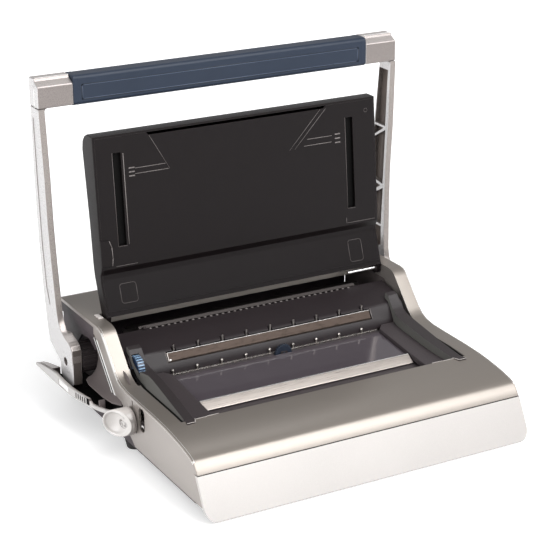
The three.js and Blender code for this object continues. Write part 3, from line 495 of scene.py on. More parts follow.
def trace(name, lines, width, place, look, body, slot, proud=0.3):
    """Thin raised lines on a surface. place(a, b, out) gives the point out millimetres above it."""
    shapes = []
    for line in lines:
        for (a0, b0), (a1, b1) in zip(line, line[1:]):
            length = math.hypot(a1 - a0, b1 - b0)
            along = ((a1 - a0) / length * width / 2, (b1 - b0) / length * width / 2)
            across = (-along[1], along[0])
            corners = [
                (a0 - along[0] + across[0], b0 - along[1] + across[1]),
                (a0 - along[0] - across[0], b0 - along[1] - across[1]),
                (a1 + along[0] - across[0], b1 + along[1] - across[1]),
                (a1 + along[0] + across[0], b1 + along[1] + across[1]),
            ]
            shapes.append(swept(corners, -0.2, proud, place))
    return new_piece(name, *join_shapes(shapes), look, body, slot)


def rounded_frame(a0, a1, b0, b1, radius, steps=5):
    """The closed outline of a rectangle with round corners."""
    corners = ((a1 - radius, b1 - radius, 0), (a0 + radius, b1 - radius, 90),
               (a0 + radius, b0 + radius, 180), (a1 - radius, b0 + radius, 270))
    line = []
    for a, b, start in corners:
        for i in range(steps + 1):
            angle = math.radians(start + 90 * i / steps)
            line.append((a + radius * math.cos(angle), b + radius * math.sin(angle)))
    return line + line[:1]


def ring_rod(name, centre, axis, radius, length, look, body, slot, sides=24, edge=0.3):
    """A round rod from centre along axis ("x", "y" or "z")."""
    places = {
        "x": lambda a, b, t: at(centre[0] + t, centre[1] + a, centre[2] + b),
        "y": lambda a, b, t: at(centre[0] + a, centre[1] + t, centre[2] + b),
        "z": lambda a, b, t: at(centre[0] + a, centre[1] + b, centre[2] + t),
    }
    shape = swept(circle(0, 0, radius, sides), 0, length, places[axis])
    return new_piece(name, *shape, look, body, slot, edge)


def carve(shape, *tools):
    """A (points, faces) shape with other closed shapes cut out of it."""
    things = []
    for points, faces in (shape, *tools):
        thing = bpy.data.objects.new("carving", closed_mesh("carving", points, faces))
        bpy.context.scene.collection.objects.link(thing)
        things.append(thing)
    for tool in things[1:]:
        cutter = things[0].modifiers.new("cut", "BOOLEAN")
        cutter.operation = "DIFFERENCE"
        cutter.solver = "EXACT"
        cutter.object = tool
    found = things[0].evaluated_get(bpy.context.evaluated_depsgraph_get()).to_mesh()
    points = [Vector(v.co) for v in found.vertices]
    faces = [list(f.vertices) for f in found.polygons]
    for thing in things:
        bpy.data.objects.remove(thing)
    return points, faces


def between(line, place):
    """The value of a line of (place, value) points at one place."""
    for (a0, b0), (a1, b1) in zip(line, line[1:]):
        if a0 <= place <= a1:
            return b0 + (b1 - b0) * (place - a0) / (a1 - a0)
    return line[0][1] if place < line[0][0] else line[-1][1]


def lofted(sections):
    """One closed shape through a row of outlines with equal point counts."""
    count = len(sections[0])
    points = [spot for section in sections for spot in section]
    faces = [list(range(count)), [len(points) - 1 - i for i in range(count)]]
    for row in range(len(sections) - 1):
        for i in range(count):
            j = (i + 1) % count
            low, high = row * count, (row + 1) * count
            faces.append([low + i, high + i, high + j, low + j])
    return points, faces


def smooth_line(line, steps=5):
    """More points on a smooth curve through the points of a line."""
    def on_curve(a, b, c, d, t):
        bend = 2 * a - 5 * b + 4 * c - d
        twist = 3 * b - a - 3 * c + d
        return 0.5 * (2 * b + (c - a) * t + bend * t * t + twist * t ** 3)

    ends = [line[0]] + list(line) + [line[-1]]
    made = []
    for spots in zip(ends, ends[1:], ends[2:], ends[3:]):
        for i in range(steps):
            made.append(tuple(on_curve(*values, i / steps) for values in zip(*spots)))
    return made + [line[-1]]


# Lid: lines, frames and fittings on its inner face, which leans back, and on the apron below it
LID_Y, LID_Z, LID_LEAN = 314.2, 186, 0.083
APRON_Y, APRON_Z, APRON_LEAN = 304.9, 133.4, 0.358
APRON_OUT_Y, APRON_OUT_Z = 0.94, 0.34
SLOT_DEPTH, SLOT_FLOOR_DEPTH = 5, 6.2
CATCH_HEIGHT = 2.2
HINGE_ROD_Y, HINGE_ROD_Z = 309.4, 121.4


def on_lid(x, z, out):
    return at(x, LID_Y + (z - LID_Z) * LID_LEAN - out, z + out * LID_LEAN)


def on_apron(x, z, out):
    return at(x, APRON_Y + (z - APRON_Z) * APRON_LEAN - out * APRON_OUT_Y, z + out * APRON_OUT_Z)


def lid_lines(name, lines, width, look, proud=0.3, place=on_lid):
    trace(name, lines, width, place, look, "lid", "lid_black", proud)


lid_lines("lid_crease_right", [[(125, 344.6), (78, 298)], [(117, 344.6), (70.5, 298)]], 0.7, LID_LINE)
lid_lines("lid_crease_left", [[(-124, 344.6), (-99, 300)]], 0.6, LID_LINE, 0.2)
left_ticks = [[(-145, 307), (-104, 307)], [(-145, 300), (-101, 300)]]
right_ticks = [[(97, 308.5), (132.5, 308.5)], [(92, 300.3), (132, 300.3)]]
lid_lines("lid_ticks_left", left_ticks, 0.7, MARK_GREY, 0.15)
lid_lines("lid_ticks_right", right_ticks, 0.7, MARK_GREY, 0.15)
for side, first, rows in (("left", -153, (298, 303, 308)), ("right", 138.5, (298.5, 304, 309.5))):
    dashes = [[(first + column * 4, z), (first + column * 4 + 2.2, z)] for z in rows for column in (0, 1)]
    lid_lines(f"lid_marks_{side}", dashes, 1.6, MARK_GREY, 0.15)
lid_lines("lid_frame_right", [rounded_frame(153, 173, 137, 164, 3.5)], 0.6, LID_LINE, 0.2, on_apron)
lid_lines("lid_frame_left", [rounded_frame(-176, -154, 141, 164, 3.5)], 0.6, LID_LINE, 0.2, on_apron)
ledges = [[(151, 189.2), (194, 189.2)], [(-179, 188.2), (-151, 188.2)], [(151, 189.2), (151, 196)]]
lid_lines("lid_ledge_lines", ledges, 0.7, LID_LINE)
lid_lines("lid_groove", [[(-160, 214), (-160, 327)]], 0.9, MARK_GREY, 0.1)
for side, x0, x1, z0, z1 in (("left", -174, -163, 213, 329), ("right", 154, 165, 209, 329)):
    rim = [[(x0 - 0.5, z0), (x0 - 0.5, z1)], [(x0, z0 - 0.5), (x1, z0 - 0.5)]]
    lid_lines(f"lid_slot_rim_{side}", rim, 0.6, LID_LINE, 0.2)
    # A near-black slab behind each slot: painted shade
    floor_shape = slab(x0 - 2, x1 + 2, SLOT_DEPTH, SLOT_FLOOR_DEPTH, z0 - 3, z1 + 3,
                       lambda x, depth, z: on_lid(x, z, -depth))
    new_piece(f"lid_slot_shade_{side}", *floor_shape, SHADE_BLACK, "lid", "lid_black", 0.2)
catch = [(-199, 190), (-184.6, 190), (-183.4, 200), (-184, 214), (-187, 222), (-199, 223.5)]
new_piece("lid_catch_box", *swept(catch, 0.0, CATCH_HEIGHT, on_lid), LID_BLACK, "lid", "lid_black", 0.6)
catch_edge = [(-185, 191), (-183.8, 200), (-184.4, 214), (-187.2, 221.6)]
lid_lines("lid_catch_edge", [catch_edge], 0.8, MARK_GREY, 0.25,
          lambda x, z, out: on_lid(x, z, out + CATCH_HEIGHT))
lid_lines("lid_screw_mark", [rounded_frame(182.6, 187.4, 332.6, 337.4, 2.3)], 0.7, LID_LINE, 0.2)
# The hinge rod's near-white steel is a painted highlight
ring_rod("lid_hinge_rod", (150, HINGE_ROD_Y, HINGE_ROD_Z), "x", 2.3, 45.5, BAR_HIGHLIGHT, "lid", "tool_steel",
         20, 0.3)
ring_rod("lid_hinge_collar", (191, HINGE_ROD_Y, HINGE_ROD_Z), "x", 3.6, 4, DARK_SHELL, "lid", "lid_black",
         24, 0.5)

# Handle: the grip's groove as lines of painted shade and highlight, its end collars, the corner blocks and
# their fillets, and sheets on the channels' floors in a darker colour that is painted shade
GRIP_FACE_Y = 361.4
GRIP_END_X = 206.2
BLOCK_INNER_X, BLOCK_OUTER_X = 206.3, 252.3
FILLET_RADIUS = 3
FILLET_X, FILLET_Z = 243.6, 385.6
CHANNEL_FLOOR_X = 240.3


def on_grip(x, z, out):
    return at(x, GRIP_FACE_Y - out, z)


# The grip's groove drawn as lines: a dark one of painted shade and a lighter one of painted highlight inside
# it
trace("grip_groove_shade_line", [rounded_frame(-195, 195, 391, 409.5, 1.5)], 0.9, on_grip, GRIP_GROOVE_SHADE, "handle",
      "grip_blue", 0.12)
trace("grip_groove_highlight", [rounded_frame(-193.9, 193.9, 391.9, 408.6, 1.2)], 0.5, on_grip, GRIP_GROOVE_HIGHLIGHT,
      "handle", "grip_blue", 0.14)
collar_section = rounded_frame(361.05, 388.4, 384.2, 421.45, 5.4, 6)[:-1]
block_section = [(361.1, 385.7), (361.1, 411.6), (362.2, 413), (371.4, 417.8), (372.6, 421.1), (387, 421.1),
                 (388.8, 419), (388.8, 385.7)]
block_ridge_highlight = [(372.5, 386), (372.5, 412), (375, 415.5)]
channel_floor = [(386.2, 372.4), (368, 372.4), (371, 288), (372.6, 210), (368, 150), (367, 128), (387.5, 120),
                 (391.8, 152), (392.6, 207), (391.2, 288)]
fillet = [(0, 0)] + [
    (FILLET_RADIUS * (1 - math.sin(math.radians(a))), FILLET_RADIUS * (math.cos(math.radians(a)) - 1))
    for a in range(90, -1, -15)]
for side, sign in SIDES:
    along_x(f"grip_collar_{side}", collar_section, sign * 198.8, sign * GRIP_END_X, GRIP_BLUE, "handle",
            "grip_blue", 0.5)
    fillet_shape = swept(fillet, 362, 386, lambda a, b, y: at(sign * (FILLET_X - a), y, FILLET_Z + b))
    new_piece(f"corner_fillet_{side}", *fillet_shape, SHADED_SILVER_BLOCK, "handle", "silver", 0.3)
    block = along_x(f"corner_shell_{side}", block_section, sign * BLOCK_INNER_X, sign * BLOCK_OUTER_X,
                    SHADED_SILVER_BLOCK, "handle", "silver", 1.3, 3)
    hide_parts(f"corner_block_{side}")
    # A painted highlight along the top of each corner block
    top_highlight = slab(sign * 207, sign * 250, 372.4, 373.6, 421.1, 421.5)
    new_piece(f"block_top_highlight_{side}", *top_highlight, SILVER_HIGHLIGHT, "handle", "silver", 0.15)
    # A sheet on each channel's floor, its darker colour painted shade
    floor_shape = swept(channel_floor, CHANNEL_FLOOR_X - 0.4, CHANNEL_FLOOR_X,
                        lambda y, z, x: at(sign * (x + ARM_LEAN * (z - PIVOT_Z)), y, z))
    new_piece(f"arm_hollow_{side}", *floor_shape, ARM_HOLLOW_SHADE, "handle", "silver")
    # A painted highlight along a ridge on each corner block's outer side
    trace(f"block_ridge_highlight_{side}", [block_ridge_highlight], 1.6, lambda y, z, out: at(sign * (BLOCK_OUTER_X + out), y, z),
          SILVER_HIGHLIGHT, "handle", "silver", 0.28)

# Size knob: its outer end is cut off at a slant and dished, with a round pad for two plain marks
KNOB_Y, KNOB_Z, KNOB_RADIUS = 190.0, 41.0, 17.3
KNOB_SLANT = math.radians(34)
KNOB_FACE_X = -240.0
KNOB_ROOT_X = -222.0
DISH_CENTRE, DISH_REACH, DISH_HEIGHT, DISH_DEPTH = -2.6, 16.6, 14.2, 5.0
PAD_CENTRE, PAD_RADIUS, PAD_DEPTH = 9.2, 5.0, 0.35
PAD_SQUEEZE = 0.9
SPOKES = 72
knob_out = Vector((-math.cos(KNOB_SLANT), -math.sin(KNOB_SLANT), 0))
knob_across = Vector((math.sin(KNOB_SLANT), -math.cos(KNOB_SLANT), 0))
face_reach = KNOB_RADIUS / math.cos(KNOB_SLANT)


def on_knob(across, up, out):
    spot = Vector((KNOB_FACE_X, KNOB_Y, KNOB_Z)) + knob_across * across + knob_out * out
    return at(spot.x, spot.y, spot.z + up)


def fade(value, start, end):
    part = min(1.0, max(0.0, (value - start) / (end - start)))
    return part * part * (3 - 2 * part)


def knob_height(across, up):
    """Height of the slanted end above its rim: a deep dish, with the pad standing in it."""
    dish = math.hypot((across - DISH_CENTRE) / DISH_REACH, up / DISH_HEIGHT)
    bowl = -DISH_DEPTH * (1 - min(1.0, dish) ** 2) * fade(dish, 1.0, 0.86) - 0.5 * fade(dish, 1.02, 0.97)
    pad = fade(math.hypot((across - PAD_CENTRE) * PAD_SQUEEZE, up), PAD_RADIUS + 0.7, PAD_RADIUS - 0.2)
    return bowl * (1 - pad) - PAD_DEPTH * pad


def face_ring(scale, height):
    """A ring of points on the slanted end; height(across, up) is how far they stand out from it."""
    spots = [(face_reach * scale * a, KNOB_RADIUS * scale * b) for a, b in circle(0, 0, 1, SPOKES)]
    return [on_knob(across, up, height(across, up)) for across, up in spots]


def barrel_ring(x, radius):
    return [at(x, KNOB_Y - a, KNOB_Z + b) for a, b in circle(0, 0, radius, SPOKES)]


dish_scales = (0.02, 0.12, 0.22, 0.32, 0.42, 0.5, 0.58, 0.64, 0.7, 0.75, 0.8, 0.84, 0.88, 0.92, 0.955)
rings = [face_ring(scale, knob_height) for scale in dish_scales]
rings += [face_ring(scale, lambda across, up: -down) for scale, down in ((0.985, 0.35), (1.0, 1.3))]
rings += [barrel_ring(x, radius) for x, radius in (
    (-226.5, KNOB_RADIUS), (-222.9, KNOB_RADIUS), (KNOB_ROOT_X, 16.6), (KNOB_ROOT_X, 5.0))]
knob = new_piece("knob_body", *lofted(rings), KNOB_WHITE, "knob", "knob_white")
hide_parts("size_knob")
knob_marks = [
    [(-1.1, 1.9), (-2.7, 1.9), (-2.7, 0.1), (-1.1, 0.1), (-1.1, -1.9), (-2.7, -1.9)],
    [(0.9, 1.9), (2.5, 1.9), (2.5, 0.1), (0.9, 0.1), (0.9, -1.9), (2.5, -1.9), (2.5, 0.1)],
]
trace("knob_digits", knob_marks, 0.5, lambda a, b, out: on_knob(PAD_CENTRE + a, b, out - 0.3), MARK_GREY,
      "knob", "knob_white", 0.16)
pad_ring = [(PAD_CENTRE + a / PAD_SQUEEZE, b) for a, b in circle(0, 0, 4.0, 24)]
pad_ring.append(pad_ring[0])
trace("knob_pad_ring", [pad_ring], 0.35, lambda a, b, out: on_knob(a, b, out - 0.33), MARK_GREY,
      "knob", "knob_white", 0.1)

# Side guard: a bow-shaped rim with louvres, round a well darkened with painted shade, that the foot of the
# handle dips into
GUARD_FLOOR_Z, GUARD_WELL_Z = 33.0, 35.4
GUARD_RIM_WIDTH = 3.0
LOUVRE_STARTS = (268.6, 273.4, 278.2, 283.0, 287.8, 292.6)
LOUVRE_WIDTH = 2.5
bow = smooth_line([(-220.6, 214), (-228, 226), (-239, 249), (-246.5, 280), (-251, 310), (-252.2, 345),
                   (-252.2, 376), (-252.2, 419.5)])
rim_top = [(214, 38.4), (262, 38.6), (264.4, 43.6), (300, 44.6), (346, 47.6), (352, 48.2), (404, 41),
           (419.5, 36.8)]
sections = []
for (x0, y0), (x1, y1), (x2, y2) in zip([bow[0]] + bow, bow, bow[1:] + [bow[-1]]):
    along = Vector((x2 - x0, y2 - y0)).normalized()
    inward = Vector((along.y, -along.x)) * (GUARD_RIM_WIDTH if along.y > 0 else -GUARD_RIM_WIDTH)
    top = between(rim_top, y1)
    rim_profile = ((0.16, GUARD_FLOOR_Z), (0, GUARD_FLOOR_Z + 1.2), (0, top - 1.2), (0.3, top), (1, top),
                   (1, GUARD_FLOOR_Z))
    sections.append([at(x1 + inward.x * part, y1 + inward.y * part, z) for part, z in rim_profile])
louvres = [slab(-262, -240, y, y + LOUVRE_WIDTH, GUARD_WELL_Z, 42.2) for y in LOUVRE_STARTS]
window_seat = slab(-262, -249.7, 311.6, 342.4, 35.6, 43.4)
rim_shape = carve(lofted(sections), *louvres, window_seat)
guard_rim = new_piece("guard_rim", *rim_shape, LIT_SILVER_GUARD, "frame", "silver", 0.25)

plan = [(-221.5, 215.5), (-228.6, 228), (-238.4, 250), (-245.6, 281), (-249.6, 310), (-250.6, 345),
        (-250.6, 419), (-241, 419), (-236.6, 372), (-209, 366), (-209, 245.8), (-220.6, 245.8)]
# The well's floor is near-black: painted shade
floor_shape = swept(plan, GUARD_FLOOR_Z + 0.2, GUARD_WELL_Z, at)
guard_floor = new_piece("guard_floor", *floor_shape, SHADE_BLACK, "frame", "dark_shell", 0.2)
# Near-black sheets on the well's walls: painted shade
lining = join_shapes([
    slab(-246.4, -245.9, 266, 299, 35.2, 43.2, lambda x, y, z: at(x - (y - 282) * 0.16, y, z)),
    slab(-220.5, -220.15, 216.5, 245.7, 33.5, 50),
])
new_piece("guard_lining", *lining, SHADE_BLACK, "frame", "dark_shell")
dividers = join_shapes([
    slab(-237.5, -229.5, 247.6, 250.2, 35.2, 46.8),
    slab(-243.6, -240.6, 264.6, 266.4, 35.2, 43.6),
])
new_piece("guard_divider", *dividers, SIDE_PLATE, "frame", "silver", 0.4)

# The solid rear of the guard slopes down; two rows of dots are moulded into the top of the rim beside it
REAR_OUTER_X, REAR_LOW_Z = -249.4, 34.5
DOT_HALF_WIDTH, DOT_HALF_LENGTH, DOT_PITCH = 0.5, 0.8, 4.6
sections = []
for y, inner in ((373, -236.8), (388, -238.6), (404, -240.8), (419, -241.4)):
    top = between(rim_top, y) - 0.7
    sections.append([at(x, y, z) for x, z in (
        (REAR_OUTER_X, REAR_LOW_Z), (REAR_OUTER_X, top), (inner, top), (inner, REAR_LOW_Z))])
new_piece("guard_rear", *lofted(sections), SHADED_SILVER_BLOCK, "frame", "silver", 0.4)
dots = []
for i in range(13):
    y = 352 + i * DOT_PITCH
    z = between(rim_top, y)
    for x in (-251.2, -249.2):
        dots.append(slab(x - DOT_HALF_WIDTH, x + DOT_HALF_WIDTH, y - DOT_HALF_LENGTH, y + DOT_HALF_LENGTH,
                         z - 0.25, z + 0.3))
new_piece("guard_dots", *join_shapes(dots), MARK_GREY, "frame", "silver")

# The flare: from the upright side plate outwards to a rounded lip over the well
FLARE_ROOT_X, FLARE_LIP_Z = -208.3, 50
FLARE_TO_BOW = 3.4
flare_section = [(-230.4, 47.4), (-230.9, 48.3), (-230.2, 49.2), (-226, 50.4), (-221, 53), (-216.5, 57.4),
                 (-212.6, 64), (-209.9, 73), (FLARE_ROOT_X, 84), (FLARE_ROOT_X, 47.4)]
flare_reach = [(215.5, 0.55), (222, 0.9), (232, 1.0), (252, 1.0), (276, 1.0), (296, 1.0), (311, 0.86),
               (316, 0.66)]
bow_plan = [(y, x) for x, y in bow]
sections = []
for y, reach in flare_reach:
    limit = between(bow_plan, y) + FLARE_TO_BOW
    row = []
    for x, z in flare_section:
        spot_x = max(FLARE_ROOT_X + (x - FLARE_ROOT_X) * reach, limit)
        row.append(at(min(spot_x, FLARE_ROOT_X), y, z - max(0.0, z - FLARE_LIP_Z) * (1 - reach)))
    sections.append(row)
guard_flare = new_piece("guard_flare", *lofted(sections), SIDE_PLATE, "frame", "silver", 0.3)
# A near-black sheet under the shaft's boss: painted shade
under_boss = slab(-228.6, FLARE_ROOT_X, 316.2, 366, 33.5, 36)
new_piece("guard_under_boss", *under_boss, SHADE_BLACK, "frame", "dark_shell", 0.2)
for piece in (guard_rim, guard_floor, guard_flare):
    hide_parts("side_guard")

# Handle feet: a straight front edge, a round lower end about the shaft, and an opening round the screw
FOOT_REACH = 34.2
FOOT_INNER_X, FOOT_OUTER_X = 230.0, 242.3
FOOT_TOP_Z = 95.8
SCREW_Y, SCREW_Z, SCREW_OPENING = 338, 66.5, 6.6
foot_arc = [(PIVOT_Y - FOOT_REACH * math.cos(a), PIVOT_Z - FOOT_REACH * math.sin(a))
            for a in (math.radians(degrees) for degrees in range(57, 132, 9))]
foot_end = [(326, FOOT_TOP_Z), (319.3, 92.6), (316.05, 87.4), (316.3, 60), *foot_arc, (358, 60),
            (358, FOOT_TOP_Z)]
round_screw = circle(SCREW_Y, SCREW_Z, SCREW_OPENING, 24)
for side, sign in SIDES:
    opening = side_sheet(sign, round_screw, FOOT_INNER_X - 1, FOOT_OUTER_X + 1.7)
    foot_shape = carve(side_sheet(sign, foot_end, FOOT_INNER_X, FOOT_OUTER_X), opening)
    new_piece(f"foot_end_{side}", *foot_shape, SHADED_SILVER_FOOT, "handle", "silver", 1.2, 3)

# Side panel: painted highlights on the edges and painted shade on the floor of the slanted groove, and the
# band and cover behind it
GROOVE_TOP_Z, GROOVE_LOW_Z = 108, 40
GROOVE_RUN = -62.2
band = [(299, 109), (403, 109), (403, 121.6), (299, 121.6)]
cover = [(300, 109.5), (405, 109.5), (405, 52), (364, 52), (360, 80), (346, 95), (322, 97), (304, 88),
         (292, 98)]


def groove_strip(sign, rear, front, low, high):
    """A strip along the slanted groove; rear and front are its edges at the groove's upper end."""
    outline = [(rear, GROOVE_TOP_Z), (front, GROOVE_TOP_Z), (front + GROOVE_RUN, GROOVE_LOW_Z),
               (rear + GROOVE_RUN, GROOVE_LOW_Z)]
    return side_sheet(sign, outline, low, high)


for side, sign in SIDES:
    edges = join_shapes([
        groove_strip(sign, 299.2, 296.7, 219.3, 220.25), groove_strip(sign, 291.8, 287.8, 219.3, 220.3)])
    new_piece(f"groove_edge_highlights_{side}", *edges, SILVER_HIGHLIGHT, "frame", "silver", 0.15)
    groove_shade = groove_strip(sign, 296.6, 291.9, 219.3, 220.1)
    new_piece(f"groove_shade_{side}", *groove_shade, SHADE_BLACK, "frame", "dark_shell")
    band_shape = side_sheet(sign, band, 219.6, 220.2)
    new_piece(f"side_band_{side}", *band_shape, SIDE_GREY, "frame", "side_grey", 0.2)
    cover_shape = side_sheet(sign, cover, 213.4, 216.6)
    new_piece(f"side_cover_{side}", *cover_shape, SIDE_GREY, "frame", "side_grey", 0.5)

# Cheeks: slanted wedges with a low inner ramp, a tab and a painted highlight line in front, painted shade in
# the gap outside
CHEEK_OUTER_X, CHEEK_LOW_Z = 194.4, 66.6
RAMP_EDGE_X, RAMP_TURN_Y = 148.4, 226
GAP_OUTER_X, GAP_INNER_X = 197.1, 193.2
TAB_TOP_Z, FRONT_LINE_Z = 69.1, 68.5
DIAL_X, DIAL_Y, DIAL_Z = -188.0, 243.0, 82.0
DIAL_CLEARANCE_RADIUS, DIAL_CLEARANCE_HALF_WIDTH = 16.6, 5.2
cheek_top = [(104.9, 67.6), (108, 68.4), (150, 73.2), (228, 83.4), (241, 90), (252, 103), (259, 105)]
cheek_base = [(104.9, 57), (110, 55), (140, 53), (158, 54), (160.1, 58), (226, 65.4), (236.2, 66.9),
              (237, 74), (241, 80.2), (248.9, 91.9), (252.7, 95.1), (259, 97.3)]
ramp_top = [(106, 60.8), (128, 61), (160, 64), (226, 71.2), (236, 72.4)]
cheek_inner = [(104.9, 180), (150, 176.2), (209, 174.2), (226, 175), (236, 177.4), (262, 177.4)]
cheek_outer = {
    "left": [(104.9, 191.9), (134, 189.7), (155, 188.5), (181, 187), (205, 185.8), (215, 186.4), (223, 190),
             (229, 194), (262, 194.3)],
    "right": [(104.9, 192.2), (150, 191.4), (262, 191.4)],
}
wedge_stations = (104.9, 108, 128, 150, 160, 181, 205, 215, 219, 223, 226, 229, 232, 236, 241, 246, 252, 259)
ramp_stations = (105.6, 107.2, 128, 160, 200, 226, 235)
gap_stations = (103.4, 135, 175, 206, 222, 232, 240)
tab = [(193.5, 94.5), (183, 94.5), (179, 104), (192, 104.9)]
tab_highlight = [(193.3, 94.7), (183.2, 94.7), (179.3, 103.8)]
front_highlight = [(149, 103.6), (164, 103.4), (165.5, 102.6), (180, 102.6)]
for side, sign in SIDES:
    sections = []
    for y in wedge_stations:
        top, base = between(cheek_top, y), between(cheek_base, y)
        low_outer = min(top - 0.6, max(CHEEK_LOW_Z, base + 0.5))
        inner, outer = between(cheek_inner, y), between(cheek_outer[side], y)
        foot = max(base, between(ramp_top, y) - 1)
        sections.append([at(sign * x, y, z) for x, z in (
            (CHEEK_OUTER_X, base), (CHEEK_OUTER_X, low_outer), (outer, top), (inner, top - 0.4),
            (inner - 0.5, foot), (inner - 0.5, base))])
    shape = lofted(sections)
    if side == "left":
        around_dial = circle(DIAL_Y, DIAL_Z, DIAL_CLEARANCE_RADIUS, 40)
        shape = carve(shape, side_sheet(1, around_dial, DIAL_X - DIAL_CLEARANCE_HALF_WIDTH,
                                        DIAL_X + DIAL_CLEARANCE_HALF_WIDTH))
    wedge = new_piece(f"cheek_wedge_{side}", *shape, CHEEK_DARK, "frame", "dark_shell", 0.5)
    sections = []
    for y in ramp_stations:
        inner = between(cheek_inner, y) - 0.8
        base, top = between(cheek_base, y), between(ramp_top, y)
        if y < 107:
            top -= 0.9
        edge = RAMP_EDGE_X + max(0, y - RAMP_TURN_Y) * 0.9
        sections.append([at(sign * x, y, z) for x, z in (
            (edge, base), (edge, top - 0.6), (edge + 0.9, top), (inner, top), (inner, base))])
    ramp = new_piece(f"cheek_ramp_{side}", *lofted(sections), TRAY_DARK, "frame", "dark_shell", 0.4)
    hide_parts(f"cheek_{side}")
    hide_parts(f"cheek_{side}")
    tab_shape = swept(tab, 66.2, TAB_TOP_Z, lambda x, y, z: at(sign * x, y, z))
    new_piece(f"cheek_tab_{side}", *tab_shape, DARK_SHELL, "frame", "dark_shell", 0.3)
    # Painted highlights along the tab's edge and along the front
    trace(f"cheek_tab_highlight_{side}", [tab_highlight], 0.7, lambda x, y, out: at(sign * x, y, TAB_TOP_Z + out),
          PALE_PART_AND_HIGHLIGHT, "frame", "dark_shell", 0.25)
    trace(f"cheek_front_highlight_{side}", [front_highlight], 0.7,
          lambda x, y, out: at(sign * x, y, FRONT_LINE_Z + out), PALE_PART_AND_HIGHLIGHT, "frame", "dark_shell", 0.25)
    # A near-black strip in the gap outside each wedge: painted shade
    sections = []
    for y in gap_stations:
        deck = between(DECK_PROFILE, y)
        sections.append([at(sign * x, y, z) for x, z in (
            (GAP_OUTER_X, deck - 2.0), (GAP_INNER_X, deck - 2.0), (GAP_INNER_X, deck - 1.2),
            (GAP_OUTER_X, deck - 1.2))])
    new_piece(f"cheek_gap_shade_{side}", *lofted(sections), SHADE_BLACK, "frame", "dark_shell")

# Edge dial: pale bars on its ribs, a painted highlight on the rib tips
DIAL_RIBS = 24
rib_section = [(-0.8, 13.8), (0.8, 13.8), (0.55, 15.3), (-0.55, 15.3)]
bars = []
for i in range(DIAL_RIBS):
    turn = 2 * math.pi * i / DIAL_RIBS
    sine, cosine = math.sin(turn), math.cos(turn)
    bars.append(swept(rib_section, -3.9, 3.9, lambda a, r, x: at(
        DIAL_X + x, DIAL_Y - r * sine + a * cosine, DIAL_Z + r * cosine + a * sine)))
new_piece("dial_rib_highlights", *join_shapes(bars), DIAL_RIB_HIGHLIGHT, "dial", "dial_blue", 0.2)

# Closer jaw: the bar in its slot with a painted highlight along its upper edge, an end plate, a bead whose
# near-white is a painted highlight, and its pins
FACE_LOW = (241.5, 79.7)
FACE_ALONG = (0.5596, 0.8287)
JAW_END_X = 145.2


def on_face(along, out):
    """A point (y, z) on the punch cover's slanted face, out millimetres above it."""
    return (FACE_LOW[0] + FACE_ALONG[0] * along - FACE_ALONG[1] * out,
            FACE_LOW[1] + FACE_ALONG[1] * along + FACE_ALONG[0] * out)


jaw_section = [on_face(1.7, -1.7), on_face(1.7, 0.5), on_face(12.4, 0.5), on_face(12.4, -1.7)]
along_x("jaw_bar", jaw_section, -JAW_END_X, JAW_END_X, JAW_STEEL, "closer", "bar_steel", 0.35)
highlight_section = [on_face(11.9, 0.45), on_face(12.35, 0.62), on_face(12.75, 0.3), on_face(12.4, 0.1)]
along_x("jaw_edge_highlight", highlight_section, -JAW_END_X, JAW_END_X, BAR_HIGHLIGHT, "closer", "bar_steel", 0.05)
end_section = [on_face(1.7, -1.6), on_face(1.7, 0.6), on_face(12.6, 0.6), on_face(12.6, -1.6)]
new_piece("jaw_end_left", *side_sheet(-1, end_section, 145.0, 145.7), PIN_STEEL, "closer", "bar_steel", 0.15)
bead = [on_face(along, out) for along, out in circle(2.9, 0.4, 1.2, 12)]
along_x("jaw_bead", bead, -144.6, -142.2, SILVER_HIGHLIGHT, "closer", "bar_steel", 0.3)
for i in range(9):
    ring_rod(f"jaw_pin_{i + 1}", ((i - 4) * PIN_PITCH + 0.4, 250.6, 89), "z", 1.12, 9.6, PIN_STEEL, "closer",
             "bar_steel", 16, 0.3)

# Size window: a pale mark on the indicator behind it
window_mark = slab(-219.2, -218.7, 160.5, 165.5, 42.0, 44.2)
new_piece("indicator_mark", *window_mark, WINDOW_WHITE, "indicator", "knob_white", 0.15)

# Punch cover: light rims at both ends of the closer's slot and light ticks between the punch holes
SLOT_RUN = (7.9, 11.7)
SLOT_OUT = (-0.83, 0.56)
HOLE_COUNT = 34


def on_slot_end(x, t, out):
    """A point along the slot's end, from its lower edge at t = 0 to its upper edge at t = 1."""
    return at(x, FACE_LOW[0] + SLOT_RUN[0] * t + SLOT_OUT[0] * out,
              FACE_LOW[1] + SLOT_RUN[1] * t + SLOT_OUT[1] * out)


slot_rims = [slab(x - 0.45, x + 0.45, 0, 1, 0, 0.35, on_slot_end) for x in (-147.4, 147.4)]
new_piece("slot_end_rims", *join_shapes(slot_rims), MARK_GREY, "frame", "dark_shell")
ticks = []
for i in range(HOLE_COUNT + 1):
    x = (i - HOLE_COUNT / 2) * HOLE_PITCH
    ticks.append(slab(x - 1.3, x + 1.3, 296.2, 298.6, 104.6, 105.9))
new_piece("hole_ticks", *join_shapes(ticks), MARK_GREY, "frame", "dark_shell", 0.15)

# Support bar: a painted highlight along its upper rear edge
highlight_section = [(155.0, 62.15), (156.2, 62.5), (157.4, 61.7), (156.2, 61.6)]
along_x("bar_edge_highlight", highlight_section, -147.1, 147.1, BAR_HIGHLIGHT, "frame", "bar_steel", 0.1)

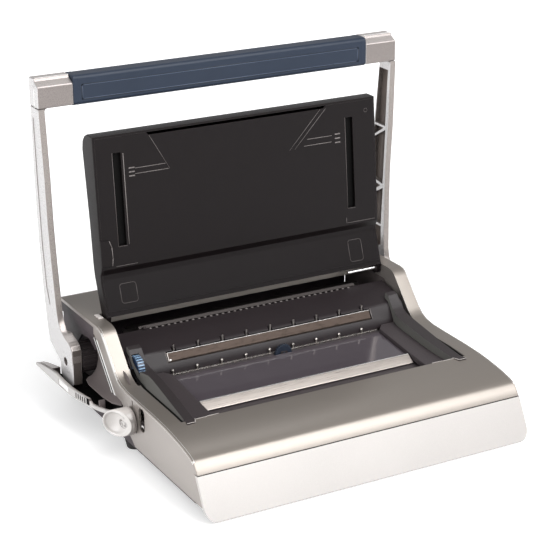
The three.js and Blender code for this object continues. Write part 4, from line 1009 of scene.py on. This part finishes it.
# The seam between the deck's lip and the drawer front, darkened by a strip of painted shade, which moves with
# the drawer
seam_section = [(SEAM_Y - 0.75, SEAM_Z - 0.85), (SEAM_Y - 0.95, SEAM_Z - 0.1), (SEAM_Y, SEAM_Z - 0.1),
                (SEAM_Y + 0.2, SEAM_Z - 0.85)]
along_x("front_seam_shade", seam_section, -219.6, 219.6, SHADE_BLACK, "drawer", "dark_shell", 0.0)

# Left tower: a small pale catch on its top
tower_catch = slab(-208.4, -201.6, 308.5, 323, 125.8, 127.6)
new_piece("tower_catch", *tower_catch, PALE_PART_AND_HIGHLIGHT, "frame", "silver", 0.7, 3)

# Silver rims: a painted highlight, the thin bright line where the deck turns into each side, from the front
# up to the towers
rim_profile = ((-0.1, 2.3), (0.75, 0.65), (2.5, -0.12), (1.9, 1.2))
for side, sign in SIDES:
    sections = [[at(sign * (BODY_HALF_WIDTH - inward), y, z - down) for inward, down in rim_profile]
                for y, z in DECK_PROFILE]
    new_piece(f"deck_rim_highlight_{side}", *lofted(sections), SILVER_HIGHLIGHT, "frame", "silver")


# Camera: fitted to the photograph

CAMERA_AZIMUTH = math.radians(-28.86)
CAMERA_ELEVATION = math.radians(20.45)
CAMERA_ROLL = math.radians(-0.31)
CAMERA_PLACE = Vector((-0.97132, -1.7380, 0.92784))
IMAGE_SIDE = 554
FOCAL_PIXELS = 1731.67
SENSOR_WIDTH = 36.0

back = Vector((
    math.sin(CAMERA_AZIMUTH) * math.cos(CAMERA_ELEVATION),
    -math.cos(CAMERA_AZIMUTH) * math.cos(CAMERA_ELEVATION),
    math.sin(CAMERA_ELEVATION),
))
level_right = Vector((math.cos(CAMERA_AZIMUTH), math.sin(CAMERA_AZIMUTH), 0.0))
level_up = back.cross(level_right)
camera_right = math.cos(CAMERA_ROLL) * level_right + math.sin(CAMERA_ROLL) * level_up
camera_up = -math.sin(CAMERA_ROLL) * level_right + math.cos(CAMERA_ROLL) * level_up
camera_data = bpy.data.cameras.new("camera")
camera_data.sensor_width = SENSOR_WIDTH
camera_data.lens = FOCAL_PIXELS * SENSOR_WIDTH / IMAGE_SIDE
camera_data.clip_start = 0.05
camera_data.clip_end = 60
camera = bpy.data.objects.new("camera", camera_data)
bpy.context.scene.collection.objects.link(camera)
turn = Matrix((camera_right, camera_up, back)).transposed()
camera.matrix_world = Matrix.Translation(CAMERA_PLACE) @ turn.to_4x4()
bpy.context.scene.camera = camera

# Floor, world and lamps

FLOOR_REACH = 14.0
floor_mesh = bpy.data.meshes.new("floor")
floor_corners = [(a * FLOOR_REACH, b * FLOOR_REACH, 0) for a, b in ((-1, -1), (1, -1), (1, 1), (-1, 1))]
floor_mesh.from_pydata(floor_corners, [], [[0, 1, 2, 3]])
floor = bpy.data.objects.new("floor", floor_mesh)
bpy.context.scene.collection.objects.link(floor)
paper = Finish("floor_paper")
paper.set(Base_Color=(0.86, 0.86, 0.86, 1.0), Roughness=0.9, Specular_IOR_Level=0.1)

# The paper glows only where the camera or a reflection sees it, and more so away from the machine
sight = paper.nodes.new("ShaderNodeLightPath")
either = paper.nodes.new("ShaderNodeMath")
either.operation = "MAXIMUM"
paper.links.new(sight.outputs["Is Camera Ray"], either.inputs[0])
paper.links.new(sight.outputs["Is Glossy Ray"], either.inputs[1])
glow = paper.nodes.new("ShaderNodeMath")
glow.operation = "MULTIPLY"
paper.links.new(either.outputs[0], glow.inputs[0])
distance = paper.nodes.new("ShaderNodeVectorMath")
distance.operation = "LENGTH"
paper.links.new(paper.place, distance.inputs[0])
paper.links.new(paper.spread(distance.outputs["Value"], 0.42, 0.95, 0.9, 2.4), glow.inputs[1])
paper.links.new(glow.outputs[0], paper.shader.inputs["Emission Strength"])
paper.set(Emission_Color=(1.0, 1.0, 1.0, 1.0))
floor_mesh.materials.append(paper.material)

world = bpy.data.worlds.new("studio")
world.use_nodes = True
bpy.context.scene.world = world
world_nodes = world.node_tree.nodes
world_links = world.node_tree.links
direction = world_nodes.new("ShaderNodeTexCoord")
split = world_nodes.new("ShaderNodeSeparateXYZ")
ramp = world_nodes.new("ShaderNodeValToRGB")
world_links.new(direction.outputs["Generated"], split.inputs[0])
world_links.new(split.outputs["Z"], ramp.inputs["Fac"])
world_links.new(ramp.outputs["Color"], world_nodes["Background"].inputs["Color"])
ramp.color_ramp.elements[0].position = 0.04
ramp.color_ramp.elements[0].color = (0.95, 0.95, 0.95, 1.0)
ramp.color_ramp.elements[1].position = 0.26
ramp.color_ramp.elements[1].color = (0.33, 0.33, 0.34, 1.0)
top = ramp.color_ramp.elements.new(0.8)
top.color = (0.4, 0.4, 0.4, 1.0)
world_nodes["Background"].inputs["Strength"].default_value = 1.0


def softbox(name, azimuth, elevation, distance, width, height, power, aim=(0, 0, 0.15)):
    """A soft lamp that looks at the machine; azimuth 0 is in front and 90 is on the right."""
    lamp = bpy.data.lights.new(name, "AREA")
    lamp.shape = "RECTANGLE"
    lamp.size = width
    lamp.size_y = height
    lamp.energy = power
    thing = bpy.data.objects.new(name, lamp)
    bpy.context.scene.collection.objects.link(thing)
    around, rise = math.radians(azimuth), math.radians(elevation)
    away = Vector((math.sin(around) * math.cos(rise), -math.cos(around) * math.cos(rise), math.sin(rise)))
    thing.location = Vector(aim) + away * distance
    thing.rotation_mode = "QUATERNION"
    thing.rotation_quaternion = away.to_track_quat("Z", "Y")
    return thing


softbox("key_front_right", 28, 38, 2.4, 1.8, 1.1, 37)
softbox("top_front_right", 34, 62, 2.4, 1.4, 0.9, 24)
softbox("fill_left", -78, 14, 2.4, 1.6, 1.2, 26)
softbox("fill_front_left", -30, 48, 2.6, 1.2, 0.8, 9)
softbox("rim_back", 165, 50, 2.6, 1.8, 0.6, 6)

view = bpy.context.scene.view_settings
view.view_transform = "Standard"
